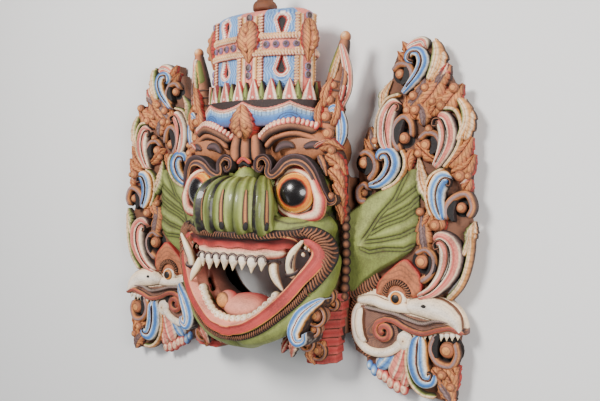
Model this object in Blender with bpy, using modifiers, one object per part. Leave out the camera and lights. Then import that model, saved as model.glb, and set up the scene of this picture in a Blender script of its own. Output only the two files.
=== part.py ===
"""A carved and painted wooden mask with a crown and two scrolled wings, lying on its back.

Four pieces: the face with its crown and horns, carved from one block and hollowed from
behind, a wing board on either side of it, and a turned bud on top of the crown.
X runs across the face, Y runs up from the chin to the crown, and Z points out of the face.
The tables below are in millimetres from the middle of the bird's eye on the wing, and show
the half of the mask that lies towards +X. The last step puts the origin under the middle.
"""
import math

import bmesh
import bpy
import numpy as np
from mathutils import Matrix, Vector

MM = 0.001

# The block and its hollow.
FACE_HALF_WIDTH = 132.0
FACE_DEPTH = 90.0
WALL = 22.0
HOLLOW_DEPTH = 62.0
HOLLOW_HEIGHT = 240.0
SEAM = 135.0
SEAM_GAP = 0.3
OVERHANG = 43.0

# The muzzle, the mouth and the eyes.
NOSE_HALF_WIDTH = 66.0
NOSE_FRONT = 158.0
NOSE_ROOT = 112.0
NOSE_BOTTOM = 90.0
NOSE_TOP = 160.0
NOSE_RIBS = ((0, 14), (30, 13), (68, 12))
LIP_THICKNESS = 13.0
EYE_RADIUS = 29.0
EYE_X = 79.0
EYE_Y = 144.0
EYE_Z = 86.0

# The crown.
CROWN_HALF_WIDTH = 84.0
CROWN_HALF_DEPTH = 34.0
CROWN_MIDDLE_Z = 62.0
BAND_HALF_WIDTH = 100.0
CROWN_FOOT = 236.0
CROWN_BAND_TOP = 273.0
LOWER_TIER = 63.0
ROPE_HEIGHT = 7.0
ROPE_PROUD = 6.0
JEWEL_BAND = 16.0
UPPER_TIER = 32.0
LOWER_ROPE = CROWN_BAND_TOP + LOWER_TIER
UPPER_ROPE = LOWER_ROPE + ROPE_HEIGHT + JEWEL_BAND
CROWN_TOP = UPPER_ROPE + ROPE_HEIGHT + UPPER_TIER
CROWN_DOME = 10.0
POINTS_ON_HALF_CROWN = 6
POINT_HEIGHT = 27.0
STRAP_HALF_ANGLE = 13.0
KEYHOLE_WIDTH = 9.0
KEYHOLE_DEPTH = 12.0
KEYHOLE_ANGLE = 37.0
KEYHOLE_HEIGHT = 18.0
FINIAL_RADIUS = 18.0
FINIAL_HEIGHT = 44.0

# The wings.
BOARD_THICKNESS = 22.0
EDGE_BEVEL = 8.0
RELIEF_HEIGHT = 16.0

# Further out than any piece reaches, for saws.
BEYOND = 1000.0

# How finely the carving is cut.
FACE_CELL = 2.0
WING_CELL = 1.6
TOOTH_CELL = 1.2
FAR_SIDE_SPARE = 15.0
HALF_FACE_FACES = 1660
HALF_TEETH_FACES = 560
WING_FACES = 2000

# The outline of a wing board, from the top of its inner edge and round to it again.
WING_OUTLINE = (
    (129, 128), (138, 138), (136, 160), (132, 176), (133, 198), (141, 206), (143, 222), (151, 241),
    (163, 232), (168, 258), (178, 284), (183, 301), (187, 305), (186, 320), (193, 339), (202, 336),
    (200, 354), (211, 350), (226, 354), (240, 352), (252, 336), (262, 320), (274, 296), (283, 277),
    (293, 245), (298, 213), (301, 179), (303, 150), (301, 120), (306, 99), (300, 66), (288, 39),
    (269, 14), (283, 3), (292, -16), (292, -36), (289, -58), (289, -83), (287, -111), (284, -131),
    (257, -127), (231, -119), (218, -123), (199, -119), (184, -112), (174, -106), (157, -97),
    (156, -86), (138, -78), (129, -62),
)

# Each scroll: its spine from tail to head, the width of its head, and the way that it curls.
SCROLLS = (
    (((212, 285), (231, 300), (237, 316), (228, 328)), 14),
    (((211, 336), (220, 342), (230, 345)), 11),
    (((196, 206), (184, 226), (184, 250), (197, 266)), 16),
    (((258, 182), (271, 202), (276, 224), (267, 238)), 14),
    (((268, 116), (258, 136), (257, 152), (267, 163)), 16),
    (((236, 12), (265, 30), (284, 58), (274, 84)), 21),
    (((158, 156), (180, 164), (193, 178), (188, 190)), 17),
    (((246, -40), (238, -66), (240, -88), (251, -97)), 16),
)

# Each volute: the path of its band, the middle of its ball and the radius of the ball.
VOLUTES = (
    (((214, 286), (220, 304), (214, 319), (200, 322), (190, 312)), (200, 308), 8),
    (((206, 203), (195, 222), (198, 243), (210, 252), (221, 240), (222, 222)), (211, 221), 9),
    (((262, 184), (263, 206), (257, 223), (243, 227), (231, 218)), (240, 211), 9),
    (((272, 112), (274, 132), (286, 143), (302, 146), (309, 130), (302, 116)), (293, 129), 9),
    (((238, 28), (254, 42), (257, 60), (246, 71), (230, 64)), (240, 56), 10),
    (((158, 162), (168, 178), (166, 194), (154, 203), (141, 198)), (150, 188), 11),
    (((154, 134), (143, 136), (141, 150), (152, 158), (160, 150)), (151, 146), 6),
    (((262, -38), (256, -58), (265, -75), (284, -77), (296, -62), (292, -46)), (280, -57), 11),
)

# Each leaf: its root, its tip and half its width.
LEAVES = (
    ((210, 320), (196, 340), 5), ((214, 336), (203, 355), 5), ((243, 298), (251, 354), 8),
    ((258, 300), (262, 336), 6), ((180, 236), (186, 299), 7), ((158, 204), (148, 221), 5),
    ((169, 204), (158, 240), 8), ((230, 258), (272, 322), 15), ((216, 266), (246, 300), 12),
    ((262, 254), (289, 290), 12), ((290, 214), (296, 268), 8), ((272, 182), (306, 218), 12),
    ((282, 166), (310, 188), 10), ((252, 124), (231, 197), 7), ((166, 148), (213, 205), 6),
    ((246, 66), (238, 132), 13), ((298, 30), (313, 112), 9), ((198, 14), (214, 56), 20),
    ((228, -48), (262, -122), 8), ((268, -80), (295, -112), 11), ((272, -104), (290, -129), 9),
    ((190, -66), (168, -96), 10), ((204, -66), (206, -118), 14), ((306, 116), (304, 160), 7),
)

# Small round curls cut into the leaves.
CURLS = (
    (223, 277, 7), (226, 258, 7), (244, 277, 6), (262, 262, 7), (278, 284, 7), (292, 168, 7),
    (258, 107, 8), (272, -91, 6), (190, 12, 5),
)

EAR_OUTLINE = (
    (131, 122), (160, 141), (186, 155), (206, 166), (217, 178), (226, 176), (231, 164), (232, 128),
    (231, 96), (226, 74), (206, 56), (180, 40), (158, 24), (131, 10),
)
EAR_RIDGES = (
    (((155, 74), (166, 92), (178, 112), (194, 130), (208, 150), (216, 172)), 5),
    (((164, 84), (196, 100), (228, 122)), 3),
    (((162, 78), (198, 86), (228, 100)), 3),
    (((156, 68), (188, 72), (224, 74)), 3),
)

BEAK = (
    ((150, -6), (180, -4), (210, -7), (240, -7)),
    ((232, -8), (254, -4), (274, -8), (288, -20), (297, -34)),
)
BEAK_RADII = ((12, 13, 14, 14), (14, 14, 14, 12, 4))
BEAK_LIP = ((196, -24), (220, -31), (244, -34), (266, -28), (284, -26), (296, -33))
BIRD_JAW = ((152, -6), (139, -28), (146, -54), (168, -70), (194, -71), (216, -62), (227, -46),
            (220, -40))
BIRD_CURL = ((210, -26), (196, -22), (180, -28), (175, -42), (184, -54), (196, -50), (196, -40),
             (188, -38))
BIRD_EYE = (206, 4, 10)
BIRD_BROW = ((188, 4), (194, 20), (208, 27), (222, 21), (230, 6))

# The face. Paths are (x, y, z), and the number after a path is its radius or its radii.
BROW = (
    ((31, 178, 99), (24, 172, 99), (20, 182, 98), (28, 192, 98), (40, 186, 98), (40, 172, 100),
     (52, 174, 103), (68, 186, 104), (88, 189, 101), (106, 180, 96), (116, 160, 90), (122, 138, 82),
     (132, 122, 70)),
    (3, 3, 4, 4, 4, 5, 6, 7, 8, 8, 7, 6, 4),
)
ARCH = ((30, 222, 88), (50, 234, 88), (76, 240, 82), (104, 236, 68))
TEMPLE = ((104, 204, 74), (122, 196, 62), (126, 172, 56), (125, 150, 52), (126, 128, 48),
          (122, 106, 48))

# The rim of the mouth from the middle of the upper lip, round the corner, to the chin.
LIP = ((0, 80, 140), (36, 80, 134), (68, 80, 121), (94, 79, 104), (112, 74, 90), (120, 62, 84),
       (112, 42, 93), (92, 22, 107), (79, -2, 118), (56, -25, 128), (28, -42, 136), (0, -48, 138))
JAW = ((116, 66, 58), (114, 26, 72), (98, -4, 86), (72, -30, 98), (38, -48, 110), (0, -54, 114))
JAW_RADII = (20, 21, 21, 21, 21, 21)
JAW_BACK = ((112, 56, 28), (104, 14, 34), (88, -14, 42), (58, -36, 52), (0, -44, 62))
JAW_BACK_RADII = (24, 26, 26, 26, 26)
MUZZLE = ((0, 96, 122), (40, 97, 118), (76, 97, 102), (108, 92, 80), (122, 80, 64))
MUZZLE_RADII = (17, 17, 18, 18, 16)
MOUTH = ((-10, 68), (40, 68), (70, 67), (96, 64), (108, 58), (109, 50), (98, 36), (83, 17), (69, -3),
         (50, -21), (26, -35), (0, -41), (-10, -41))
FRINGE = ((62, 90, 128), (92, 92, 106), (118, 84, 84), (128, 62, 76), (122, 34, 84), (104, 8, 98),
          (82, -16, 112), (54, -40, 126), (26, -56, 132), (0, -62, 134))
FRINGE_RADII = (5, 8, 11, 12, 10, 7, 5, 4, 4, 4)
MOUTH_ROOM = ((0, 40, 0), (94, 72, 98))
GUM = ((-4, 66, 120), (38, 66, 116), (64, 67, 106), (86, 70, 92))
GUM_RADIUS = 12.0
TEETH_ON_HALF_JAW = 4
TOOTH_WIDTH = 14.5
TOOTH_LENGTH = 22.0
TOOTH_TOP = 57.0
LOWER_TEETH = 4
UPPER_FANG = ((61, 50, 115), (66, 36, 121), (73, 24, 123), (81, 12, 121))
LOWER_TUSK = ((90, 24, 104), (86, 42, 112), (92, 62, 117), (107, 81, 115))
TONGUE = ((0, -24, 92), (42, 20, 40))

HORN = ((106, 216, 56), (113, 262, 56), (121, 312, 55), (130, 352, 54), (131, 366, 54))
HORN_RADII = (24, 20, 14, 9, 6)
HORN_CURLS = ((118, 226, 66, 12), (114, 250, 72, 8), (116, 270, 72, 7), (122, 292, 68, 6))
HORN_FEATHER = ((122, 206, 50), (134, 232, 50), (138, 262, 51), (137, 292, 52), (137, 318, 53),
                (133, 350, 54))
HORN_FEATHER_RADII = (8, 9, 8, 8, 7, 4)

# The lock of hair below each ear: a blue scroll, brown curls and pink ribs that run outwards.
LOCK_SCROLL = ((112, -2, 62), (94, -14, 74), (84, -34, 82), (92, -48, 84))
LOCK_SCROLL_RADII = (4, 9, 13, 12)
LOCK_CURLS = ((112, 2, 62, 11), (112, -26, 66, 13), (102, -48, 74, 10), (86, -68, 76, 10),
              (70, -60, 84, 9), (100, -74, 60, 12))
LOCK_RIBS = 8
LOCK_TOP = 2.0
LOCK_RIB_HEIGHT = 11.5
BEADS = 9
BEAD_RADIUS = 6.0
BEADS_X = 134.0
BEADS_Z = 49.0
BEADS_LOW = 8.0
BEADS_HIGH = 118.0

PAINT = {
    "mask_face": (0.42, 0.45, 0.20), "wing_left": (0.70, 0.45, 0.38),
    "wing_right": (0.70, 0.45, 0.38), "crown_finial": (0.30, 0.14, 0.07),
}


def clear_scene():
    for obj in list(bpy.data.objects):
        bpy.data.objects.remove(obj)


def collection(name, hidden=False):
    made = bpy.data.collections.new(name)
    bpy.context.scene.collection.children.link(made)
    made.hide_render = hidden
    return made


def scaled(point):
    """A point of the tables, in metres."""
    return Vector(point) * MM


def smooth_path(points, per_span=4):
    """Points on a smooth curve through the given ones (Catmull-Rom)."""
    pts = [Vector(p) for p in points]
    pts = [2 * pts[0] - pts[1]] + pts + [2 * pts[-1] - pts[-2]]
    found = []
    for i in range(1, len(pts) - 2):
        a, b, c, d = pts[i - 1:i + 3]
        for step in range(per_span):
            t = step / per_span
            found.append(0.5 * (2 * b + (c - a) * t + (2 * a - 5 * b + 4 * c - d) * t * t
                                + (3 * b - a - 3 * c + d) * t ** 3))
    return found + [pts[-2]]


def evaluated(obj):
    """A new mesh that holds the object as its modifiers leave it."""
    bpy.context.view_layer.update()
    graph = bpy.context.evaluated_depsgraph_get()
    return bpy.data.meshes.new_from_object(obj.evaluated_get(graph))


def baked(obj):
    """The object as plain mesh data, closed, with its place in its points. The object goes."""
    mesh = evaluated(obj)
    mesh.transform(obj.matrix_world)
    bm = bmesh.new()
    bm.from_mesh(mesh)
    bmesh.ops.remove_doubles(bm, verts=bm.verts, dist=1e-6)
    bmesh.ops.recalc_face_normals(bm, faces=bm.faces)
    bm.to_mesh(mesh)
    bm.free()
    bpy.data.objects.remove(obj)
    return mesh


def rope(points, radii, sides=2, per_span=4):
    """A round stroke of changing thickness along a smooth path."""
    radii = list(radii) if hasattr(radii, "__len__") else [radii] * len(points)
    path = smooth_path(points, per_span)
    thick = smooth_path([(r, 0, 0) for r in radii], per_span)
    data = bpy.data.curves.new("stroke", "CURVE")
    data.dimensions = "3D"
    data.bevel_depth = MM
    data.bevel_resolution = sides
    data.use_fill_caps = True
    spline = data.splines.new("POLY")
    spline.points.add(len(path) - 1)
    for target, place, radius in zip(spline.points, path, thick):
        target.co = (*(place * MM), 1)
        target.radius = max(radius.x, 0.6)
    obj = bpy.data.objects.new("stroke", data)
    bpy.context.scene.collection.objects.link(obj)
    return baked(obj)


def ball(centre, radii, segments=20, rings=10):
    """An ellipsoid, or a sphere where one radius is given."""
    radii = radii if hasattr(radii, "__len__") else (radii,) * 3
    bpy.ops.mesh.primitive_uv_sphere_add(segments=segments, ring_count=rings, radius=1)
    obj = bpy.context.object
    obj.location = scaled(centre)
    obj.scale = scaled(radii)
    return baked(obj)


def block(low, high):
    """A straight-sided box between two corners."""
    low, high = scaled(low), scaled(high)
    bpy.ops.mesh.primitive_cube_add(size=1, location=(low + high) / 2)
    bpy.context.object.scale = high - low
    return baked(bpy.context.object)


def drum(half_width, half_depth, low, high, top_share=1.0, sides=48):
    """An oval drum round the crown's upright, narrower at its top by top_share."""
    bpy.ops.mesh.primitive_cone_add(vertices=sides, radius1=1, radius2=top_share, depth=(high - low) * MM)
    obj = bpy.context.object
    obj.matrix_world = (Matrix.Translation(scaled((0, (low + high) / 2, CROWN_MIDDLE_Z)))
                        @ Matrix.Rotation(math.radians(-90), 4, "X")
                        @ Matrix.Diagonal((half_width * MM, half_depth * MM, 1, 1)))
    return baked(obj)


def slab(outline, low, high, bevel=0.0):
    """A flat board of the given outline, between two heights. A bevel leaves the outline where it is."""
    data = bpy.data.curves.new("board", "CURVE")
    data.dimensions = "2D"
    data.fill_mode = "BOTH"
    data.extrude = ((high - low) / 2 - bevel) * MM
    data.bevel_depth = bevel * MM
    data.bevel_resolution = 1
    data.offset = -bevel * MM
    spline = data.splines.new("POLY")
    spline.points.add(len(outline) - 1)
    for target, (x, y) in zip(spline.points, outline):
        target.co = (x * MM, y * MM, 0, 1)
    spline.use_cyclic_u = True
    obj = bpy.data.objects.new("board", data)
    bpy.context.scene.collection.objects.link(obj)
    obj.location = (0, 0, (low + high) / 2 * MM)
    return baked(obj)


def at_height(points, height):
    return [(x, y, height) for x, y in points]


def pressed(mesh, base, share):
    """Changes how far a shape stands out from a base height."""
    base = base * MM
    for vertex in mesh.vertices:
        vertex.co.z = base + (vertex.co.z - base) * share
    return mesh


def mirrored(mesh):
    """A copy of the shape on the other side of the mask."""
    copy = mesh.copy()
    copy.transform(Matrix.Scale(-1, 4, (1, 0, 0)))
    copy.flip_normals()
    return copy


def joined(name, meshes, into):
    """One object that holds all the meshes, still as overlapping bodies."""
    bm = bmesh.new()
    for mesh in meshes:
        bm.from_mesh(mesh)
        bpy.data.meshes.remove(mesh)
    data = bpy.data.meshes.new(name)
    bm.to_mesh(data)
    bm.free()
    obj = bpy.data.objects.new(name, data)
    into.objects.link(obj)
    return obj


def helper(name, meshes, into):
    """A cutter or a carved piece that is only used by a Boolean."""
    obj = joined(name, meshes, into)
    obj.hide_render = True
    obj.display_type = "WIRE"
    return obj


def settle(obj):
    """Makes what the object's modifiers do a part of its mesh."""
    data = evaluated(obj)
    obj.modifiers.clear()
    obj.data = data
    return obj


def in_order(mesh):
    """Puts the points and faces in an order that only depends on where they are."""
    count = len(mesh.vertices)
    points = np.empty(count * 3, np.float32)
    mesh.vertices.foreach_get("co", points)
    points = points.reshape(-1, 3)
    order = np.lexsort(points.T)
    place = np.empty(count, int)
    place[order] = np.arange(count)
    faces = []
    for polygon in mesh.polygons:
        corners = [int(place[i]) for i in polygon.vertices]
        first = corners.index(min(corners))
        faces.append(corners[first:] + corners[:first])
    found = bpy.data.meshes.new(mesh.name)
    found.from_pydata(points[order].tolist(), [], sorted(faces))
    return found


def fuse(obj, cell):
    """Makes the overlapping bodies one skin."""
    skin = obj.modifiers.new("Skin", "REMESH")
    skin.mode = "VOXEL"
    skin.voxel_size = cell * MM
    settle(obj)
    obj.data = in_order(obj.data)
    return obj


def thin_out(obj, faces):
    """Lowers the number of faces to about the given one, most of all where it is flat."""
    obj.data.calc_loop_triangles()
    thin = obj.modifiers.new("Thin", "DECIMATE")
    thin.ratio = min(1.0, faces / len(obj.data.loop_triangles))
    return settle(obj)


def combine(obj, other, operation, name):
    """Cuts a helper out of the object, or joins it on. The helper is kept, hidden."""
    mod = obj.modifiers.new(name, "BOOLEAN")
    mod.operation = operation
    mod.solver = "EXACT"
    mod.object = other
    return settle(obj)


def keep_largest(obj):
    """Drops crumbs that the cuts leave loose, also those that still touch at a corner."""
    bm = bmesh.new()
    bm.from_mesh(obj.data)
    seen, groups = set(), []
    for start in bm.faces:
        if start in seen:
            continue
        stack, group = [start], []
        seen.add(start)
        while stack:
            face = stack.pop()
            group.append(face)
            for other in (near for edge in face.edges for near in edge.link_faces):
                if other not in seen:
                    seen.add(other)
                    stack.append(other)
        groups.append(group)
    groups.sort(key=len)
    crumbs = [face for group in groups[:-1] for face in group]
    bmesh.ops.delete(bm, geom=crumbs, context="FACES")
    bm.to_mesh(obj.data)
    bm.free()
    return obj


def whole_from_half(obj):
    """Cuts the object at the middle plane and mirrors its +X half."""
    mirror = obj.modifiers.new("Other half", "MIRROR")
    mirror.use_axis = (True, False, False)
    mirror.use_bisect_axis = (True, False, False)
    mirror.bisect_threshold = 1e-6
    mirror.merge_threshold = 1e-5
    return settle(obj)


def painted(obj):
    material = bpy.data.materials.new(obj.name + "_paint")
    material.use_nodes = True
    shader = material.node_tree.nodes["Principled BSDF"]
    shader.inputs["Base Color"].default_value = (*PAINT[obj.name], 1)
    shader.inputs["Roughness"].default_value = 0.6
    shader.inputs["Metallic"].default_value = 0.0
    obj.data.materials.clear()
    obj.data.materials.append(material)
    return obj


def ground_saw():
    """All that lies below the level of the back."""
    return block((-BEYOND, -BEYOND, -BEYOND), (BEYOND, BEYOND, 0))


def wing_shapes():
    """Every carved shape of the +X wing, on its board."""
    top = BOARD_THICKNESS
    shapes = [slab(WING_OUTLINE, -EDGE_BEVEL / 2, top, EDGE_BEVEL)]
    for spine, head in SCROLLS:
        radii = [head * (0.25 + 0.75 * i / (len(spine) - 1)) for i in range(len(spine))]
        shapes.append(pressed(rope(at_height(spine, top), radii, 3), top, RELIEF_HEIGHT / head))
    for band, centre, radius in VOLUTES:
        radii = [5.0 - 0.25 * i for i in range(len(band))]
        shapes.append(pressed(rope(at_height(band, top), radii), top, 2.6))
        shapes.append(pressed(ball((*centre, top), radius), top, 1.5))
    for root, tip, half in LEAVES:
        middle = ((root[0] * 2 + tip[0]) / 3, (root[1] * 2 + tip[1]) / 3)
        leaf = rope(at_height((root, middle, tip), top), (half * 0.7, half, 1.5))
        shapes.append(pressed(leaf, top, 12 / half))
    for x, y, radius in CURLS:
        shapes.append(pressed(ball((x, y, top), radius), top, 2.2))
    shapes.append(slab(EAR_OUTLINE, 8, 29))
    shapes.append(ball((156, 84, 20), (34, 66, 19)))
    for path, radius in EAR_RIDGES:
        shapes.append(rope(at_height(path, 31), radius))
    for path, radii in zip(BEAK, BEAK_RADII):
        shapes.append(pressed(rope(at_height(path, top), radii, 3), top, 1.1))
    shapes.append(pressed(rope(at_height(BEAK_LIP, top), 5), top, 2.4))
    shapes.append(pressed(rope(at_height(BIRD_JAW, top), 8), top, 1.7))
    shapes.append(pressed(rope(at_height(BIRD_CURL, top), 6), top, 2.3))
    shapes.append(ball((BIRD_EYE[0], BIRD_EYE[1], 27), BIRD_EYE[2]))
    shapes.append(rope(at_height(BIRD_BROW, 31), 4))
    return shapes


def make_wings(part_set, cutter_set):
    """Both wings: one is carved, and the other is its mirror image."""
    right = fuse(joined("wing_right", wing_shapes(), part_set), WING_CELL)
    thin_out(right, WING_FACES)
    edge = block((-BEYOND, -BEYOND, -BEYOND), (SEAM + SEAM_GAP / 2, BEYOND, BEYOND))
    under_face = block((-BEYOND, -BEYOND, OVERHANG - SEAM_GAP / 2), (SEAM + 12, BEYOND, BEYOND))
    combine(right, helper("wing_back_saw", [ground_saw()], cutter_set), "DIFFERENCE", "Back")
    combine(right, helper("wing_edge_saw", [edge], cutter_set), "DIFFERENCE", "Edge")
    combine(right, helper("wing_step_saw", [under_face], cutter_set), "DIFFERENCE", "Step")
    keep_largest(right)
    left = bpy.data.objects.new("wing_left", mirrored(right.data))
    part_set.objects.link(left)
    return [painted(right), painted(left)]


def crown_place(angle, height, out=0.0):
    """A point on the drum's face, at an angle from the middle and a height up the crown."""
    x = (CROWN_HALF_WIDTH + out) * math.sin(angle)
    z = CROWN_MIDDLE_Z + (CROWN_HALF_DEPTH + out) * math.cos(angle)
    return x, height, z


def crown_shapes():
    band_depth = CROWN_HALF_DEPTH + 8
    shapes = [
        drum(BAND_HALF_WIDTH, band_depth, CROWN_FOOT, CROWN_BAND_TOP, 0.95),
        drum(CROWN_HALF_WIDTH, CROWN_HALF_DEPTH, CROWN_BAND_TOP - 6, CROWN_TOP - 6, 0.96),
        ball((0, CROWN_TOP - 8, CROWN_MIDDLE_Z),
             (CROWN_HALF_WIDTH * 0.95, CROWN_DOME + 8, CROWN_HALF_DEPTH * 0.95), 32, 12),
    ]
    rings = (
        (LOWER_ROPE, ROPE_HEIGHT, ROPE_PROUD),
        (LOWER_ROPE + ROPE_HEIGHT + 1, JEWEL_BAND - 2, ROPE_PROUD / 2),
        (UPPER_ROPE, ROPE_HEIGHT, ROPE_PROUD),
    )
    for low, height, proud in rings:
        shapes.append(drum(CROWN_HALF_WIDTH + proud, CROWN_HALF_DEPTH + proud, low, low + height))
    for angle in (0, 68):
        shapes.extend(crown_strap(math.radians(angle)))
    for i in range(POINTS_ON_HALF_CROWN):
        shapes.append(crown_point(math.radians(84 * (i + 0.5) / POINTS_ON_HALF_CROWN)))
    return shapes


def crown_strap(angle):
    """An upright strap with roped edges and a leaf in its middle."""
    half = math.radians(STRAP_HALF_ANGLE)
    heights = (CROWN_BAND_TOP + 14, LOWER_ROPE - 26, LOWER_ROPE + 14, CROWN_TOP - 4)
    shapes = []
    for edge in (-half, 0, half):
        path = [crown_place(angle + edge, y, -1) for y in heights]
        shapes.append(rope(path, 5 if edge else 7))
    shapes.append(ball(crown_place(angle, (LOWER_ROPE + UPPER_ROPE) / 2 + 8, 3), (15, 23, 8)))
    return shapes


def crown_point(angle):
    """One of the upright points round the foot of the crown."""
    foot = crown_place(angle, CROWN_BAND_TOP, 3)
    tip = crown_place(angle, CROWN_BAND_TOP + POINT_HEIGHT, 1)
    return rope((foot, [(a + b) / 2 for a, b in zip(foot, tip)], tip), (8, 6, 1.5))


def keyholes():
    """The keyhole recesses of the two panels on the +X half."""
    x, _, z = crown_place(math.radians(KEYHOLE_ANGLE), 0)
    half = KEYHOLE_WIDTH / 3
    shapes = []
    for round_end, slot_end in ((LOWER_ROPE - KEYHOLE_HEIGHT, LOWER_ROPE - 2),
                                (CROWN_TOP - 12, CROWN_TOP - 12 - KEYHOLE_HEIGHT + 4)):
        bpy.ops.mesh.primitive_cylinder_add(vertices=10, radius=KEYHOLE_WIDTH / 2 * MM,
                                            depth=2 * KEYHOLE_DEPTH * MM)
        bpy.context.object.location = scaled((x, round_end, z))
        shapes.append(baked(bpy.context.object))
        low, high = sorted((round_end, slot_end))
        shapes.append(block((x - half, low, z - KEYHOLE_DEPTH + 1), (x + half, high, z + KEYHOLE_DEPTH)))
    return shapes


def nose_shapes():
    """Five fat ribs side by side round the front of the nose."""
    shapes = []
    spread = NOSE_FRONT - NOSE_ROOT
    for angle, radius in NOSE_RIBS:
        turn = math.radians(angle)
        x = (NOSE_HALF_WIDTH - radius * 0.6) * math.sin(turn)
        z = NOSE_ROOT + (spread - radius) * math.sqrt(math.cos(turn))
        path = (
            (x, NOSE_BOTTOM + 4, z - 12), (x, NOSE_BOTTOM + 16, z), (x, NOSE_BOTTOM + 42, z),
            (x * 0.84, NOSE_TOP - 8, z - 12), (x * 0.55, NOSE_TOP + 3, z - 34),
        )
        shapes.append(rope(path, (radius * 0.8, radius, radius, radius * 0.9, radius * 0.6), 3))
    shapes.append(ball((0, 124, 104), (NOSE_HALF_WIDTH - 8, 38, 40)))
    shapes.append(ball((0, 170, 92), (20, 20, 16)))
    return shapes


def mouth_shapes():
    return [
        rope(LIP, LIP_THICKNESS / 2, 2, 3),
        rope(JAW, JAW_RADII, 3),
        rope(JAW_BACK, JAW_BACK_RADII, 3),
        rope(MUZZLE, MUZZLE_RADII, 3),
        rope(FRINGE, FRINGE_RADII, 2, 3),
        ball((0, 26, 30), (116, 82, 60)),
    ]


def tooth_shapes():
    """The teeth, fangs, gum and tongue of the +X half, each a little into the jaw."""
    shapes = [rope(GUM, GUM_RADIUS, 2, 2)]
    for i in range(TEETH_ON_HALF_JAW):
        x = (i + 0.5) * TOOTH_WIDTH
        z = 127 - 9 * (x / 60) ** 2
        middle = (x, TOOTH_TOP - TOOTH_LENGTH / 2, z + 1)
        tip = (x, TOOTH_TOP - TOOTH_LENGTH, z - 1)
        shapes.append(rope(((x, TOOTH_TOP, z), middle, tip), (7, 6, 1.6), 1, 2))
    for i in range(LOWER_TEETH):
        t = (i + 0.5) / LOWER_TEETH
        shapes.append(ball((56 * t, -36 + 24 * t * t, 126 - 14 * t * t), (6, 8, 6), 8, 6))
    shapes.append(rope(UPPER_FANG, (7, 6.5, 5, 1.5), 1, 2))
    shapes.append(rope(LOWER_TUSK, (7, 6.5, 5.5, 2.5), 1, 2))
    shapes.append(ball(*TONGUE, 16, 8))
    return shapes


def eye_shapes():
    ring = [(EYE_X + 31 * math.cos(a), EYE_Y + 1 + 28 * math.sin(a), EYE_Z + 6)
            for a in [i * math.tau / 16 for i in range(17)]]
    return [
        ball((EYE_X, EYE_Y, EYE_Z), EYE_RADIUS, 24, 14),
        rope(ring, 5, 2, 1),
        ball((EYE_X, EYE_Y - 6, 66), (42, 42, 26)),
    ]


def brow_shapes():
    shapes = [
        rope(*BROW),
        rope(ARCH, (5, 7, 8, 6)),
        ball((72, 210, 74), (48, 28, 20)),
        rope(TEMPLE, (12, 13, 11, 10, 9, 6)),
        ball((123, 196, 62), 12),
        ball((124, 134, 58), 10),
        ball((0, 236, 88), (21, 30, 14)),
    ]
    for x in (0, 17):
        shapes.append(rope(((x * 0.9, 226, 94), (x, 206, 98), (x * 1.1, 190, 96)), (7, 6, 6)))
    return shapes


def horn_shapes():
    shapes = [rope(HORN, HORN_RADII, 3), rope(HORN_FEATHER, HORN_FEATHER_RADII)]
    for x, y, z, radius in HORN_CURLS:
        shapes.append(ball((x, y, z), radius, 12, 8))
    return shapes


def lock_shapes():
    """The hair below the ear, and the beads beside it."""
    shapes = [rope(LOCK_SCROLL, LOCK_SCROLL_RADII), ball((104, -42, 34), (26, 50, 24))]
    for x, y, z, radius in LOCK_CURLS:
        shapes.append(ball((x, y, z), radius, 12, 8))
    for i in range(LOCK_RIBS):
        y = LOCK_TOP - (i + 0.5) * LOCK_RIB_HEIGHT
        reach = SEAM - 4 - max(0, i - 4) * 3.5
        shapes.append(rope(((90, y - 4, 44), (108, y - 1, 48), (reach, y + 2, 40)), LOCK_RIB_HEIGHT * 0.56))
    for i in range(BEADS):
        y = BEADS_LOW + (i + 0.5) * (BEADS_HIGH - BEADS_LOW) / BEADS
        shapes.append(ball((BEADS_X, y, BEADS_Z), BEAD_RADIUS, 10, 6))
    return shapes


def block_shapes():
    return [
        ball((0, 112, 6), (FACE_HALF_WIDTH, 128, FACE_DEPTH - 6), 40, 20),
        ball((0, 205, 12), (120, 62, FACE_DEPTH - 16), 40, 20),
        ball((0, 40, 4), (FACE_HALF_WIDTH, 92, 62), 40, 20),
        block((96, -54, -4), (SEAM + 4, 168, 40)),
        block((20, 150, 20), (104, 250, 60)),
    ]


def make_face(part_set, cutter_set):
    """The +X half is carved and cut, and the other half is its mirror image."""
    skin = block_shapes() + crown_shapes() + nose_shapes() + mouth_shapes() + eye_shapes()
    skin += brow_shapes() + horn_shapes() + lock_shapes()
    obj = fuse(joined("mask_face", skin, part_set), FACE_CELL)
    keep_half = block((-BEYOND, -BEYOND, -BEYOND), (-FAR_SIDE_SPARE, BEYOND, BEYOND))
    combine(obj, helper("far_side", [keep_half], cutter_set), "DIFFERENCE", "Far side")
    thin_out(obj, HALF_FACE_FACES)
    rooms = {
        "face_back_saw": [ground_saw()],
        "face_edge_saw": [block((SEAM - SEAM_GAP / 2, -BEYOND, -BEYOND),
                                (BEYOND, BEYOND, OVERHANG + SEAM_GAP / 2))],
        "face_room": [ball((0, 98, -14),
                           (FACE_HALF_WIDTH - WALL, HOLLOW_HEIGHT / 2, HOLLOW_DEPTH + 14), 28, 16)],
        "mouth_room": [ball(*MOUTH_ROOM, 28, 16)],
        "mouth_opening": [slab(MOUTH, 20, 260)],
    }
    for name, shapes in rooms.items():
        combine(obj, helper(name, shapes, cutter_set), "DIFFERENCE", name)
    for shape in keyholes():
        combine(obj, helper("keyhole", [shape], cutter_set), "DIFFERENCE", "Keyhole")
    teeth = helper("teeth", tooth_shapes(), cutter_set)
    thin_out(fuse(teeth, TOOTH_CELL), HALF_TEETH_FACES)
    combine(obj, teeth, "UNION", "Teeth")
    whole_from_half(obj)
    keep_largest(obj)
    obj.data = in_order(obj.data)
    return painted(obj)


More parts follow.
